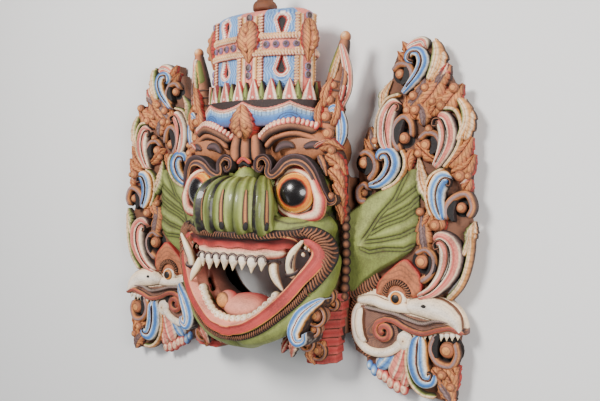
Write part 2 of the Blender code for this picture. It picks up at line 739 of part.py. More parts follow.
def make_finial(part_set):
    """The turned bud on top of the crown: a profile spun round the upright."""
    seat = CROWN_TOP + CROWN_DOME + SEAM_GAP
    top = seat + FINIAL_HEIGHT
    profile = ((0, top), (5, top - 2), (10, top - 10), (13, top - 20), (12, seat + 17),
               (FINIAL_RADIUS - 2, seat + 13), (FINIAL_RADIUS, seat + 8), (FINIAL_RADIUS, seat), (0, seat))
    data = bpy.data.meshes.new("bud")
    points = [(x * MM, y * MM, 0) for x, y in profile]
    data.from_pydata(points, [(i, i + 1) for i in range(len(points) - 1)], [])
    obj = bpy.data.objects.new("bud", data)
    part_set.objects.link(obj)
    spin = obj.modifiers.new("Turn", "SCREW")
    spin.axis = "Y"
    spin.steps = spin.render_steps = 20
    spin.use_merge_vertices = True
    spin.merge_threshold = 0.00005
    obj.location = (0, 0, CROWN_MIDDLE_Z * MM)
    return painted(joined("crown_finial", [baked(obj)], part_set))


def centre_all(objects):
    """Puts the origin under the middle of the whole mask, at the level of its back."""
    points = [vertex.co for obj in objects for vertex in obj.data.vertices]
    low = Vector(min(p[i] for p in points) for i in range(3))
    high = Vector(max(p[i] for p in points) for i in range(3))
    shift = Matrix.Translation((0, -(low.y + high.y) / 2, -low.z))
    for obj in objects:
        obj.data.transform(shift)


def main():
    clear_scene()
    part_set = collection("mask")
    cutter_set = collection("cutters", hidden=True)
    parts = [make_face(part_set, cutter_set), *make_wings(part_set, cutter_set), make_finial(part_set)]
    centre_all(parts)


main()
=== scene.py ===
# %% [markdown]
# # A carved mask with a crown and two scrolled wings
# The real mask is cut from light wood: a face block with a tall crown, and a flat carved board
# on either side. It is primed white and painted in chalky colours that have worn and darkened.
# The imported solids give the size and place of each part. This script puts the carving and the
# paint on them: every scroll, leaf, tooth and bead is a mesh of its own shape, laid where the
# solids have it, and the paint follows each stroke of the chisel.

import math

import bmesh
import bpy
import numpy as np
from mathutils import Matrix, Vector


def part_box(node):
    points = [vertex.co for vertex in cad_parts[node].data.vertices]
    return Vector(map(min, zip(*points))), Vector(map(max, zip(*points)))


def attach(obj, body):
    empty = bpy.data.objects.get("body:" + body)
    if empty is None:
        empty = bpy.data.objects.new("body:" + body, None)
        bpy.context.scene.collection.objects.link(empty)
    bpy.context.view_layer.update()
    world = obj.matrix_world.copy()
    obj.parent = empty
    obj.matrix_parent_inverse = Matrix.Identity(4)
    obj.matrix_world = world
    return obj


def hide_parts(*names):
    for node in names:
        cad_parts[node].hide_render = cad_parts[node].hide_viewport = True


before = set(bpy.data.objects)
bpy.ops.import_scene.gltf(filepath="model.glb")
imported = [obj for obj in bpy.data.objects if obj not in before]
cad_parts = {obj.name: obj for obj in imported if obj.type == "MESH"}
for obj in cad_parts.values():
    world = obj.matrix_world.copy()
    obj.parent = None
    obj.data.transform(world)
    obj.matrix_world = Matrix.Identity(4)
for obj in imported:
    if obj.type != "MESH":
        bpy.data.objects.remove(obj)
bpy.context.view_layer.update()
MM = 0.001
BUD_TOP = 452.3
SHIFT_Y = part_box("crown_finial")[1][1] / MM - BUD_TOP
print("parts:", sorted(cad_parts), "tables shift by", round(SHIFT_Y, 2), "mm")

# %% [markdown]
# ## Places
# All tables below are in millimetres: X across the face from its middle, Y towards the crown
# from a line near the birds' eyes, and Z out of the face from its flat back. They show the half
# towards +X, and the other half is its mirror image, as the carver made it.

# %% Helpers for places and paths
STEPS_BETWEEN = 12


def to_frame(points):
    """Points of the tables as metres in the frame."""
    points = np.asarray(points, float).reshape(-1, 3)
    return (points + (0.0, SHIFT_Y, 0.0)) * MM


def smooth_path(points, spacing=2.0):
    """Even steps along a smooth curve through the given points (Catmull-Rom)."""
    pts = np.asarray(points, float)
    pts = np.vstack([2 * pts[0] - pts[1], pts, 2 * pts[-1] - pts[-2]])
    t = np.linspace(0, 1, STEPS_BETWEEN, endpoint=False)[:, None]
    found = []
    for a, b, c, d in zip(pts[:-3], pts[1:-2], pts[2:-1], pts[3:]):
        bend = (2 * a - 5 * b + 4 * c - d) * t ** 2
        twist = (3 * b - a - 3 * c + d) * t ** 3
        found.append(0.5 * (2 * b + (c - a) * t + bend + twist))
    dense = np.vstack(found + [pts[-2][None]])
    run = np.concatenate([[0], np.cumsum(np.linalg.norm(np.diff(dense[:, :3], axis=0), axis=1))])
    count = max(3, int(round(run[-1] / spacing)) + 1)
    even = np.linspace(0, run[-1], count)
    return np.stack([np.interp(even, run, dense[:, k]) for k in range(dense.shape[1])], axis=1)


def unit(vectors):
    return vectors / np.maximum(np.linalg.norm(vectors, axis=-1, keepdims=True), 1e-9)


print("a straight run of 40 mm gets", len(smooth_path([(0, 0, 0), (20, 0, 0), (40, 0, 0)])), "points")

# %% [markdown]
# ## The camera and the light
# The photograph looks at the mask from the right and a little above its middle. The mask lies
# on its back here, so the same view comes from above. The camera stands where pairs of
# mirrored points in the photograph put it. Three large soft lamps light the mask, and the floor
# is plain and pale.

# %% Camera
CAMERA_PLACE = (594.4, 140.6, 903.9)
CAMERA_RIGHT = Vector((0.84744, 0.02168, -0.53044))
CAMERA_UP = Vector((-0.02230, 0.99974, 0.00523))
LENS, SENSOR = 42.0, 36.0
NEAREST = 0.01

camera_data = bpy.data.cameras.new("photo_camera")
camera_data.lens = LENS
camera_data.sensor_width = SENSOR
camera_data.clip_start = NEAREST
camera = bpy.data.objects.new("photo_camera", camera_data)
bpy.context.scene.collection.objects.link(camera)
backward = CAMERA_RIGHT.cross(CAMERA_UP)
turn = Matrix((CAMERA_RIGHT, CAMERA_UP, backward)).transposed()
camera.matrix_world = Matrix.Translation(to_frame([CAMERA_PLACE])[0]) @ turn.to_4x4()
bpy.context.scene.camera = camera
print("camera at", [round(v, 3) for v in camera.location])

# %% Lights and floor
SKY_COLOUR, SKY_STRENGTH = (0.86, 0.88, 0.92, 1), 0.21
FLOOR_SIZE = 6


def lamp(name, place, target, size, power, tint):
    data = bpy.data.lights.new(name, "AREA")
    data.shape = "DISK"
    data.size = size
    data.energy = power
    data.color = tint
    obj = bpy.data.objects.new(name, data)
    bpy.context.scene.collection.objects.link(obj)
    obj.location = place
    obj.rotation_euler = (Vector(target) - Vector(place)).to_track_quat("-Z", "Y").to_euler()


lamp("key", (-0.25, 0.62, 1.35), (0.0, 0.0, 0.05), 0.45, 33, (1.0, 0.97, 0.93))
lamp("side", (1.25, 0.05, 0.85), (0.05, 0.0, 0.05), 0.7, 17, (1.0, 0.97, 0.94))
lamp("fill", (-0.9, -0.8, 1.1), (0.0, -0.05, 0.05), 1.1, 4.5, (0.93, 0.96, 1.0))

world = bpy.data.worlds.new("studio")
world.use_nodes = True
sky = world.node_tree.nodes["Background"].inputs
sky["Color"].default_value = SKY_COLOUR
sky["Strength"].default_value = SKY_STRENGTH
bpy.context.scene.world = world

bpy.ops.mesh.primitive_plane_add(size=FLOOR_SIZE)
floor = bpy.context.object
floor.name = "floor"

# %% [markdown]
# ## Paint
# Old tempera on wood: each colour is flat in itself but was laid on by brush in bands that
# follow the carving, and handling has rubbed it to the primer and the brown wood. One shared
# node group does the ageing. Each paint then gives it a colour that a ramp reads from the
# stroke's own UV: U runs across the stroke and V along it, so a band of pink stays beside a
# thin red line however the scroll turns.


# %% Colour helpers
def linear(rgb):
    """A colour picked as it looks on a screen, as the linear one that shaders use."""
    return tuple(c / 12.92 if c <= 0.04045 else ((c + 0.055) / 1.055) ** 2.4 for c in rgb) + (1.0,)


COLOURS = {
    "pink": (0.86, 0.50, 0.43), "rose": (0.74, 0.30, 0.28), "red": (0.68, 0.20, 0.17),
    "lip": (0.66, 0.21, 0.19), "cream": (0.95, 0.84, 0.70), "white": (0.95, 0.90, 0.84),
    "blue": (0.24, 0.44, 0.70), "sky": (0.55, 0.70, 0.84), "gold": (0.85, 0.58, 0.28),
    "ochre": (0.81, 0.54, 0.31), "brown": (0.64, 0.40, 0.26), "terracotta": (0.72, 0.42, 0.27),
    "bark": (0.44, 0.28, 0.20), "dark": (0.17, 0.12, 0.12), "black": (0.06, 0.045, 0.05),
    "plum": (0.34, 0.25, 0.26), "mauve": (0.55, 0.45, 0.44), "green": (0.42, 0.46, 0.19),
    "moss": (0.30, 0.33, 0.14), "pale_green": (0.60, 0.63, 0.36), "grey": (0.56, 0.50, 0.45),
    "orange": (0.93, 0.56, 0.20), "wood": (0.42, 0.23, 0.12), "bone": (0.93, 0.83, 0.66),
    "tongue": (0.87, 0.56, 0.47), "void": (0.012, 0.01, 0.01), "crimson": (0.34, 0.085, 0.08),
    "yellow": (1.0, 0.82, 0.42),
}


class Tree:
    """Short ways to add and link nodes in one node tree."""

    def __init__(self, tree):
        self.tree = tree

    def node(self, kind, values=None, **settings):
        made = self.tree.nodes.new(kind)
        for key, value in settings.items():
            setattr(made, key, value)
        for key, value in (values or {}).items():
            if isinstance(value, bpy.types.NodeSocket):
                self.tree.links.new(value, made.inputs[key])
            else:
                made.inputs[key].default_value = value
        return made

    def math(self, operation, *values, clamp=False):
        sockets = dict(enumerate(values))
        return self.node("ShaderNodeMath", sockets, operation=operation, use_clamp=clamp).outputs[0]

    def mix(self, factor, a, b, blend="MIX"):
        sockets = {0: factor, 6: a, 7: b}
        return self.node("ShaderNodeMix", sockets, data_type="RGBA", blend_type=blend).outputs[2]

    def ramp(self, value, stops):
        made = self.node("ShaderNodeValToRGB", {0: value})
        elements = made.color_ramp.elements
        while len(elements) < len(stops):
            elements.new(0.5)
        for element, (place, colour) in zip(elements, stops):
            element.position = place
            element.color = colour
        return made.outputs[0]


def new_group(name, inputs, outputs):
    """A shader node group with named sockets. Returns the tree helper and its two ends."""
    tree = bpy.data.node_groups.new(name, "ShaderNodeTree")
    for label, kind, value in inputs:
        socket = tree.interface.new_socket(label, in_out="INPUT", socket_type=kind)
        socket.default_value = value
    for label, kind in outputs:
        tree.interface.new_socket(label, in_out="OUTPUT", socket_type=kind)
    t = Tree(tree)
    return t, t.node("NodeGroupInput").outputs, t.node("NodeGroupOutput").inputs


print(len(COLOURS), "colours")

# %% The ageing group
CLOUDS_A_METRE, CHIPS_A_METRE, SPECKS_A_METRE = 34.0, 150.0, 420.0
DIRT_EDGE, CHIP_EDGE = (0.36, 0.52), (0.60, 0.66)
DIRT_COLOUR = (0.22, 0.14, 0.10)
NONE, FULL = (0, 0, 0, 1), (1, 1, 1, 1)


def ageing_group():
    t, given, out = new_group(
        "aged_paint",
        [("Colour", "NodeSocketColor", (0.8, 0.8, 0.8, 1)),
         ("Bare", "NodeSocketColor", linear(COLOURS["bark"])),
         ("Wear", "NodeSocketFloat", 0.35), ("Grime", "NodeSocketFloat", 0.5),
         ("Brush", "NodeSocketVector", (0, 0, 0)), ("Gloss", "NodeSocketFloat", 0.5)],
        [("Colour", "NodeSocketColor"), ("Roughness", "NodeSocketFloat"), ("Height", "NodeSocketFloat")],
    )
    place = t.node("ShaderNodeTexCoord").outputs["Object"]

    def noise(vector, scale, detail, **more):
        sockets = {"Vector": vector, "Scale": scale, "Detail": detail, **more}
        return t.node("ShaderNodeTexNoise", sockets).outputs[0]

    cloud = noise(place, CLOUDS_A_METRE, 4.0)
    speck = noise(place, SPECKS_A_METRE, 3.0)
    chips = noise(place, CHIPS_A_METRE, 6.0, Roughness=0.7)
    streak = noise(given["Brush"], 1.0, 3.0)
    tone = t.math("MULTIPLY_ADD", cloud, 0.5, 0.74)
    brushed = t.math("MULTIPLY_ADD", streak, 0.55, 0.73)
    shade = t.math("MULTIPLY", tone, brushed)
    grey = t.node("ShaderNodeCombineColor", {0: shade, 1: shade, 2: shade}).outputs[0]
    colour = t.mix(1.0, given["Colour"], grey, "MULTIPLY")
    dirt = t.ramp(t.math("ADD", t.math("MULTIPLY", speck, 0.5), t.math("MULTIPLY", cloud, 0.5)),
                  list(zip(DIRT_EDGE, (FULL, NONE))))
    colour = t.mix(t.math("MULTIPLY", dirt, given["Grime"], clamp=True), colour, linear(DIRT_COLOUR))
    rubbed = t.ramp(chips, list(zip(CHIP_EDGE, (NONE, FULL))))
    worn = t.math("MULTIPLY", rubbed, given["Wear"], clamp=True)
    colour = t.mix(worn, colour, given["Bare"])
    matt = t.math("SUBTRACT", 0.75, t.math("MULTIPLY", given["Gloss"], 0.5))
    rough = t.math("MULTIPLY_ADD", speck, 0.25, matt)
    height = t.math("ADD", t.math("MULTIPLY", chips, 0.4), t.math("MULTIPLY", streak, 0.6))
    t.tree.links.new(colour, out["Colour"])
    t.tree.links.new(t.math("ADD", rough, t.math("MULTIPLY", worn, 0.2)), out["Roughness"])
    t.tree.links.new(height, out["Height"])
    return t.tree


AGEING = ageing_group()
print("ageing group with", len(AGEING.nodes), "nodes")

# %% [markdown]
# A paint is made from a name and the list of its bands across a stroke. `hatch` adds dark
# lines that cross the stroke, as the brush drew them on feathers and leaves. A paint without
# bands takes its colour from the mesh instead, where the shape was coloured point by point.


# %% Paints
WOBBLES_A_METRE = 160.0
WOBBLE_WIDTH = 0.05
HATCH_LIMIT = 0.62
STREAKS_ACROSS = 14.0
STREAKS_A_METRE = 60.0
SKIN_STREAKS = (330.0, 110.0, 110.0)
BUMP_METRES = 0.0006
PAINTS = {}


def paint(name, bands, wear=0.35, grime=0.45, gloss=0.25, hatch=None, coat=0.0):
    """A painted finish.

    bands is "place colour, place colour, ...", with the places in hundredths of the way across.
    hatch is (lines a metre, slant, depth).
    """
    tinted = bands is None
    material = bpy.data.materials.new(name)
    material.use_nodes = True
    t = Tree(material.node_tree)
    shader = material.node_tree.nodes["Principled BSDF"]
    uv = t.node("ShaderNodeUVMap", uv_map="stroke").outputs[0]
    split = t.node("ShaderNodeSeparateXYZ", {0: uv})
    across, along = split.outputs[0], split.outputs[1]
    if tinted:
        colour = t.node("ShaderNodeAttribute", attribute_name="tint").outputs["Color"]
    else:
        place = t.node("ShaderNodeTexCoord").outputs["Object"]
        sockets = {"Scale": WOBBLES_A_METRE, "Detail": 1.0, "Vector": place}
        wobble = t.node("ShaderNodeTexNoise", sockets).outputs[0]
        uneven = t.math("ADD", across, t.math("MULTIPLY", t.math("SUBTRACT", wobble, 0.5), WOBBLE_WIDTH))
        stops = [band.split() for band in bands.split(",")]
        colour = t.ramp(uneven, [(float(place) / 100, linear(COLOURS[c])) for place, c in stops])
    if hatch:
        rate, slant, depth = hatch
        lean = t.math("MULTIPLY", t.math("ABSOLUTE", t.math("SUBTRACT", across, 0.5)), slant)
        wave = t.math("SINE", t.math("MULTIPLY", t.math("ADD", along, lean), rate * math.tau))
        line = t.math("MULTIPLY", t.math("GREATER_THAN", wave, HATCH_LIMIT), depth)
        colour = t.mix(line, colour, linear(COLOURS["dark"]))
    if tinted:
        place = t.node("ShaderNodeTexCoord").outputs["Object"]
        brush = t.node("ShaderNodeVectorMath", {0: place, 1: SKIN_STREAKS}, operation="MULTIPLY")
    else:
        streaks = t.math("MULTIPLY", across, STREAKS_ACROSS), t.math("MULTIPLY", along, STREAKS_A_METRE)
        brush = t.node("ShaderNodeCombineXYZ", dict(enumerate(streaks)))
    aged = t.node("ShaderNodeGroup", node_tree=AGEING)
    t.tree.links.new(colour, aged.inputs["Colour"])
    t.tree.links.new(brush.outputs[0], aged.inputs["Brush"])
    for label, value in (("Wear", wear), ("Grime", grime), ("Gloss", gloss)):
        aged.inputs[label].default_value = value
    sockets = {"Height": aged.outputs["Height"], "Strength": 0.35, "Distance": BUMP_METRES}
    bump = t.node("ShaderNodeBump", sockets)
    t.tree.links.new(aged.outputs["Colour"], shader.inputs["Base Color"])
    t.tree.links.new(aged.outputs["Roughness"], shader.inputs["Roughness"])
    t.tree.links.new(bump.outputs[0], shader.inputs["Normal"])
    shader.inputs["Coat Weight"].default_value = coat
    PAINTS[name] = material


# Most ramps begin and end in dark or black, so each stroke and ball goes dark where it meets what carries
# it: partly the dark outline that the real paint has, and partly painted shade at the foot of the
# carving.
paint("pink_scroll",
      "0 dark, 5 grey, 13 cream, 20 white, 23.5 ochre, 26 pink, 36 pink, 38.5 red, 41 pink, 44 white, "
      "46.5 white, 48.5 dark, 51.5 dark, 53.5 white, 57 cream, 62 pink, 68 rose, 73 pink, 84 pink, "
      "90 cream, 95 mauve, 100 dark")
paint("blue_scroll",
      "0 dark, 5 gold, 10 cream, 15 white, 22 sky, 32 blue, 40 sky, 44 white, 47 white, 48.5 dark, "
      "51.5 dark, 53.5 rose, 56 white, 62 sky, 72 blue, 84 blue, 90 sky, 95 white, 100 dark")
paint("gold_rim",
      "0 dark, 12 moss, 25 pale_green, 42 cream, 50 gold, 60 cream, 78 gold, 90 ochre, 100 dark",
      hatch=(120, 0, .25))
paint("brown_band",
      "0 dark, 8 bark, 20 ochre, 30 terracotta, 45 mauve, 60 mauve, 75 brown, 85 ochre, 94 bark, "
      "100 black", wear=.2)
paint("brown_leaf",
      "0 red, 6 bark, 12 terracotta, 30 ochre, 47 terracotta, 50 dark, 53 terracotta, 70 ochre, "
      "88 terracotta, 94 bark, 100 red", hatch=(150, .03, .5))
paint("mauve_leaf",
      "0 dark, 10 terracotta, 25 ochre, 34 plum, 45 mauve, 55 mauve, 66 plum, 75 ochre, 90 terracotta, "
      "100 dark", hatch=(170, .03, .35))
paint("red_leaf",
      "0 dark, 10 red, 22 pink, 32 cream, 42 rose, 50 red, 58 rose, 68 cream, 78 pink, 90 red, 100 dark",
      hatch=(170, .02, .3))
paint("gold_leaf",
      "0 dark, 8 moss, 22 pale_green, 40 cream, 48 ochre, 56 cream, 70 gold, 85 cream, 95 ochre, "
      "100 dark", hatch=(160, .012, .35))
paint("blue_feather",
      "0 dark, 8 sky, 30 blue, 44 sky, 50 white, 56 sky, 75 blue, 92 white, 100 dark",
      hatch=(90, .01, .25))
paint("pink_feather",
      "0 dark, 8 cream, 25 pink, 42 rose, 50 cream, 60 pink, 80 pink, 92 cream, 100 dark",
      hatch=(110, .01, .3))
paint("curl_line", "0 black, 30 dark, 50 brown, 70 dark, 100 black", wear=.15)
paint("scallop_blue", "0 white, 25 sky, 60 blue, 100 plum", wear=.2)
paint("scallop_pink", "0 pink, 30 cream, 50 pink, 75 rose, 100 red", wear=.2)
paint("curl_brown",
      "0 ochre, 30 ochre, 36 bark, 42 terracotta, 66 brown, 72 dark, 78 brown, 90 bark, 100 black",
      wear=.3)
paint("pool", "0 black, 70 black, 100 dark", wear=.1, grime=.2)
# The ground is dark brown: the dark paint of the carving's ground, and also painted shade in the gaps
# between the carvings.
paint("ground", "0 bark, 50 bark, 100 dark", wear=.5, grime=.6)
paint("coloured", None, wear=.25, grime=.4)
paint("cream_band", "0 bark, 4 bark, 9 cream, 50 white, 91 cream, 96 bark, 100 bark", wear=.2, grime=.3)
paint("red_band",
      "0 black, 10 plum, 20 ochre, 30 rose, 55 bark, 75 rose, 88 ochre, 94 plum, 100 black", wear=.25)
paint("grey_band", "0 dark, 20 grey, 50 mauve, 80 grey, 100 dark", hatch=(300, .01, .5))
print(len(PAINTS), "paints")

# %% [markdown]
# ## The chisel
# A carved stroke is a path with a width and a rounded section. Sweeping one section along a
# path makes scrolls, bands, ribs, feathers and leaves alike: what changes is the section, how
# the width swells, and whether the edge is notched. Each stroke is a closed body of its own
# that sinks a little into what carries it, so it reads as carved from the same wood.

# %% The carving collector
SHARP_STROKE, SHARP_SKIN = math.radians(50), math.radians(40)
MID_TINT = 0.5


def place_piece(mesh, nodes):
    """A finished piece of the mask from a mesh that is in its place."""
    obj = bpy.data.objects.new(mesh.name, mesh)
    bpy.context.scene.collection.objects.link(obj)
    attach(obj, "root")
    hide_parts(*nodes)


class Carving:
    """Collects strokes and balls, and then makes one object of them."""

    def __init__(self, name, slot, *nodes):
        self.name, self.slot, self.nodes = name, slot, nodes
        self.points, self.uvs, self.faces, self.paints, self.tints = [], [], [], [], []
        self.count = 0

    def grid(self, points, uvs, paint_name, tints=None):
        """A closed body from rows of points: each row is one section, and the ends are capped."""
        rows, cols = points.shape[:2]
        index = self.count + np.arange(rows * cols).reshape(rows, cols)
        after = np.roll(index, -1, axis=1)
        quads = np.stack([index[:-1], after[:-1], after[1:], index[1:]], axis=-1).reshape(-1, 4).tolist()
        quads.append(index[0][::-1].tolist())
        quads.append(index[-1].tolist())
        self.points.append(points.reshape(-1, 3))
        self.uvs.append(uvs.reshape(-1, 2))
        if tints is None:
            tints = np.full((rows, cols, 3), MID_TINT)
        self.tints.append(tints.reshape(-1, 3))
        self.faces += quads
        self.paints += [paint_name] * len(quads)
        self.count += rows * cols

    def take(self, mesh, paint_name):
        """Adds a ready mesh in the tables' millimetres, with its stroke UV."""
        points = np.empty(len(mesh.vertices) * 3)
        mesh.vertices.foreach_get("co", points)
        corners = np.empty(len(mesh.loops), np.int32)
        mesh.loops.foreach_get("vertex_index", corners)
        corner_uvs = np.empty(len(mesh.loops) * 2)
        mesh.uv_layers["stroke"].data.foreach_get("uv", corner_uvs)
        uvs = np.zeros((len(mesh.vertices), 2))
        uvs[corners] = corner_uvs.reshape(-1, 2)
        self.points.append(points.reshape(-1, 3))
        self.uvs.append(uvs)
        self.tints.append(np.full((len(uvs), 3), MID_TINT))
        self.faces += [[v + self.count for v in face.vertices] for face in mesh.polygons]
        self.paints += [paint_name] * len(mesh.polygons)
        self.count += len(uvs)

    def mesh(self, label, place):
        """All that was collected as one mesh, with its points put in place by a function."""
        uvs, tints = np.vstack(self.uvs), np.vstack(self.tints)
        names = sorted(set(self.paints))
        number = {n: i for i, n in enumerate(names)}
        mesh = bpy.data.meshes.new(label)
        mesh.from_pydata(place(np.vstack(self.points)).tolist(), [], self.faces)
        layer = mesh.uv_layers.new(name="stroke")
        corners = np.empty(len(mesh.loops), np.int32)
        mesh.loops.foreach_get("vertex_index", corners)
        layer.data.foreach_set("uv", uvs[corners].astype(np.float32).ravel())
        tint = mesh.color_attributes.new("tint", "FLOAT_COLOR", "POINT")
        full = np.concatenate([tints, np.ones((len(tints), 1))], axis=1).astype(np.float32)
        tint.data.foreach_set("color", full.ravel())
        for n in names:
            mesh.materials.append(PAINTS[n])
        mesh.polygons.foreach_set("material_index", [number[p] for p in self.paints])
        bm = bmesh.new()
        bm.from_mesh(mesh)
        bmesh.ops.recalc_face_normals(bm, faces=bm.faces)
        bm.to_mesh(mesh)
        bm.free()
        mesh.shade_smooth()
        mesh.set_sharp_from_angle(angle=SHARP_STROKE)
        return mesh

    def finish(self, both_sides=True):
        """The object, and its mirror image where it has one."""
        sides = ((1, "_right"), (-1, "_left")) if both_sides else ((1, ""),)
        for sign, suffix in sides:
            mesh = self.mesh(self.name + suffix, lambda points: to_frame(points * (sign, 1, 1)))
            nodes = ["wing" + suffix if n == "wing" else n for n in self.nodes]
            place_piece(mesh, nodes)
        print(self.name, len(self.faces), "faces", "on each side" if both_sides else "")


# %% Sections and strokes
SCROLL = ((-1, 0), (-1, .5), (-.93, .76), (-.75, .93), (-.5, 1), (-.2, .98), (-.06, .93), (-.03, .72),
          (0, .62), (.03, .72), (.06, .93), (.2, .98), (.5, 1), (.75, .93), (.93, .76), (1, .5), (1, 0))
ROUND = tuple((-math.cos(math.pi * i / 12), math.sin(math.pi * i / 12) ** 0.8) for i in range(13))
DISHED = ((-1, 0), (-1, .8), (-.9, .97), (-.75, 1), (-.5, .8), (0, .62), (.5, .8), (.75, 1), (.9, .97),
          (1, .8), (1, 0))
LEAF = ((-1, 0), (-1, .35), (-.8, .62), (-.5, .9), (-.25, 1), (-.08, .86), (0, .72), (.08, .86), (.25, 1),
        (.5, .9), (.8, .62), (1, .35), (1, 0))
FLAT = ((-1, 0), (-1, .85), (-.92, 1), (-.5, 1), (0, 1), (.5, 1), (.92, 1), (1, .85), (1, 0))
PETAL = ((-1, 0), (-1, .5), (-.95, .7), (-.85, .83), (-.65, .93), (-.35, .985), (0, 1), (.35, .985),
         (.65, .93), (.85, .83), (.95, .7), (1, .5), (1, 0))
SINK = 3.0


def stroke(into, path, half, height, paint_name, section=SCROLL, up=(0, 0, 1), notch=0.0, lobes=0,
           round_ends=(True, True), spacing=2.0, ripple=0.0, sink=SINK):
    """Sweeps a section along a path of (x, y, z).

    half is the half width and height the rise, each one number or one for each point of the path.
    """
    path = np.asarray(path, float)
    half = np.full(len(path), float(half)) if np.isscalar(half) else np.asarray(half, float)
    tall = np.full(len(path), float(height)) if np.isscalar(height) else np.asarray(height, float)
    ups = np.broadcast_to(np.asarray(up, float), (len(path), 3))
    run = smooth_path(np.column_stack([path, half, tall, ups]), spacing)
    places, half, tall, ups = run[:, :3], np.maximum(run[:, 3], 0.3), np.maximum(run[:, 4],
        0.3), unit(run[:, 5:8])
    length = np.concatenate([[0], np.cumsum(np.linalg.norm(np.diff(places, axis=0), axis=1))])
    total = length[-1]
    for end, wanted in zip((length, total - length), round_ends):
        if wanted:
            reach = max(1.0, min(half[0 if end is length else -1], total / 3))
            close = np.clip(end / reach, 0, 1)
            shrink = np.sqrt(np.clip(1 - (1 - close) ** 2, 0.02, 1))
            half = half * shrink
            tall = tall * np.sqrt(shrink)
    wave = (length / total * lobes) % 1.0 if lobes else np.zeros_like(length)
    edge = 1 - notch * wave ** 2
    tangent = unit(np.gradient(places, axis=0))
    side = unit(np.cross(tangent, ups))
    section = np.asarray(section, float)
    across = section[:, 0][None, :, None] * (half * edge)[:, None, None] * side[:, None, :]
    swell = 1 - ripple * (wave[:, None] ** 2) * np.abs(section[:, 0])[None, :] if lobes else 1.0
    rise = ((section[:, 1][None, :] * swell) * tall[:, None])[..., None] * ups[:, None, :]
    foot = (section[:, 1][None, :] <= 0)[..., None] * -sink * ups[:, None, :]
    points = places[:, None, :] + across + rise + foot
    u = np.broadcast_to((section[:, 0] + 1)[None, :] / 2, points.shape[:2])
    v = np.broadcast_to((length * MM)[:, None], points.shape[:2])
    into.grid(points, np.stack([u, v], axis=-1), paint_name)


def ball(into, centre, radii, paint_name, facing=(0, 0, 1), rings=8, sides=18):
    """A closed ellipsoid. U runs from the pole that faces out to the far one, and V round it."""
    radii = np.broadcast_to(np.asarray(radii, float), (3,))
    lift = Vector(facing).normalized()
    turned = np.array(lift.to_track_quat("Z", "Y").to_matrix())
    polar = np.linspace(0.02, math.pi - 0.02, 2 * rings)[:, None]
    angle = np.linspace(0, math.tau, sides, endpoint=False)[None, :]
    shape = np.stack([np.sin(polar) * np.cos(angle), np.sin(polar) * np.sin(angle),
                      np.cos(polar) * np.ones_like(angle)], axis=-1)
    points = (shape @ turned.T) * radii + np.asarray(centre, float)
    u = np.broadcast_to(polar / (math.pi / 2), points.shape[:2])
    v = np.broadcast_to(angle / math.tau * 0.1, points.shape[:2])
    into.grid(points[::-1], np.stack([np.clip(u, 0, 1), v], axis=-1)[::-1], paint_name)


def leaf(into, path, half, height, paint_name, base=None):
    """A pointed leaf with notched edges and a groove along its middle."""
    path = np.asarray(path, float)
    if path.shape[1] == 2:
        path = np.column_stack([path, np.full(len(path), base)])
    if len(path) == 2:
        path = np.vstack([path[0], path.mean(axis=0), path[1]])
    t = np.linspace(0, 1, len(path))
    shape = half * np.interp(t, (0, 0.4, 0.75, 1), (0.75, 1, 0.8, 0.12))
    stroke(into, path, shape, height * np.interp(t, (0, .5, 1), (1, 1, .6)), paint_name, LEAF, notch=0.22,
           lobes=4, ripple=0.22, round_ends=(True, False), spacing=1.5)


def leaves(into, table, height, grow=1.0, base=None):
    """The leaves of a table of (finish, path, half width)."""
    for finish, path, half in table:
        leaf(into, path, half * grow, height, finish, base)


def level(points, z):
    """The (x, y) points of a table at one height."""
    return [(*p[:2], z) for p in points]


print("sections:", len(SCROLL), len(ROUND), len(LEAF))

# %% [markdown]
# ## The wings
# Each wing is a board about 20 mm thick with openwork-like scrolls cut into its face. Painted
# scrolls curl round small balls in dark pools, brown leaves fill what is left, a green ear
# spreads from the face, and a bird's head looks outwards at the foot. The board comes first,
# as one outline with its edges broken, because everything else sinks into it.

# %% The wing board
WING_TOP = 20.5
WING_OUTLINE = (
    (136, 128), (140, 138), (139, 160), (137, 176), (138, 198), (143, 206), (145, 222), (152, 239),
    (162, 231), (167, 256), (177, 282), (182, 300), (187, 305), (187, 320), (193, 336), (201, 334),
    (201, 352), (211, 348), (226, 352), (239, 350), (250, 335), (260, 320), (272, 296), (281, 277),
    (291, 245), (296, 213), (299, 179), (301, 150), (299, 120), (304, 99), (298, 66), (286, 39),
    (268, 14), (281, 2), (290, -16), (290, -36), (287, -58), (287, -83), (285, -111), (282, -129),
    (257, -125), (231, -117), (218, -121), (199, -117), (184, -110), (174, -104), (158, -96),
    (156, -85), (139, -77), (136, -62),
)


def board(into, outline, low, high, bevel, paint_name):
    """A flat board with broken edges."""
    outline = np.asarray(outline, float)
    around = unit(np.roll(outline, -1, axis=0) - np.roll(outline, 1, axis=0))
    out = np.stack([around[:, 1], -around[:, 0]], axis=1)
    area = np.sum(outline[:, 0] * np.roll(outline[:, 1], -1) - np.roll(outline[:, 0], -1) * outline[:, 1])
    inner = outline - out * bevel * np.sign(area)
    rings = [np.column_stack([ring, np.full(len(ring), z)]) for ring,
             z in ((inner, low), (outline, low + bevel), (outline, high - bevel), (inner, high))]
    points = np.stack(rings)
    into.grid(points, points[:, :, :2] * MM, paint_name)


wing_board = Carving("wing_board", "wing_paint", "wing")
# The board's face takes the dark ground paint, which is partly painted shade between the carvings.
board(wing_board, WING_OUTLINE, 0.3, WING_TOP, 3.0, "ground")
wing_board.finish()

# %% [markdown]
# ### Scrolls
# A scroll is one band that swells and then hooks over at its head. The paint runs along it in
# thin stripes round a dark middle line, which is also a groove in the section.

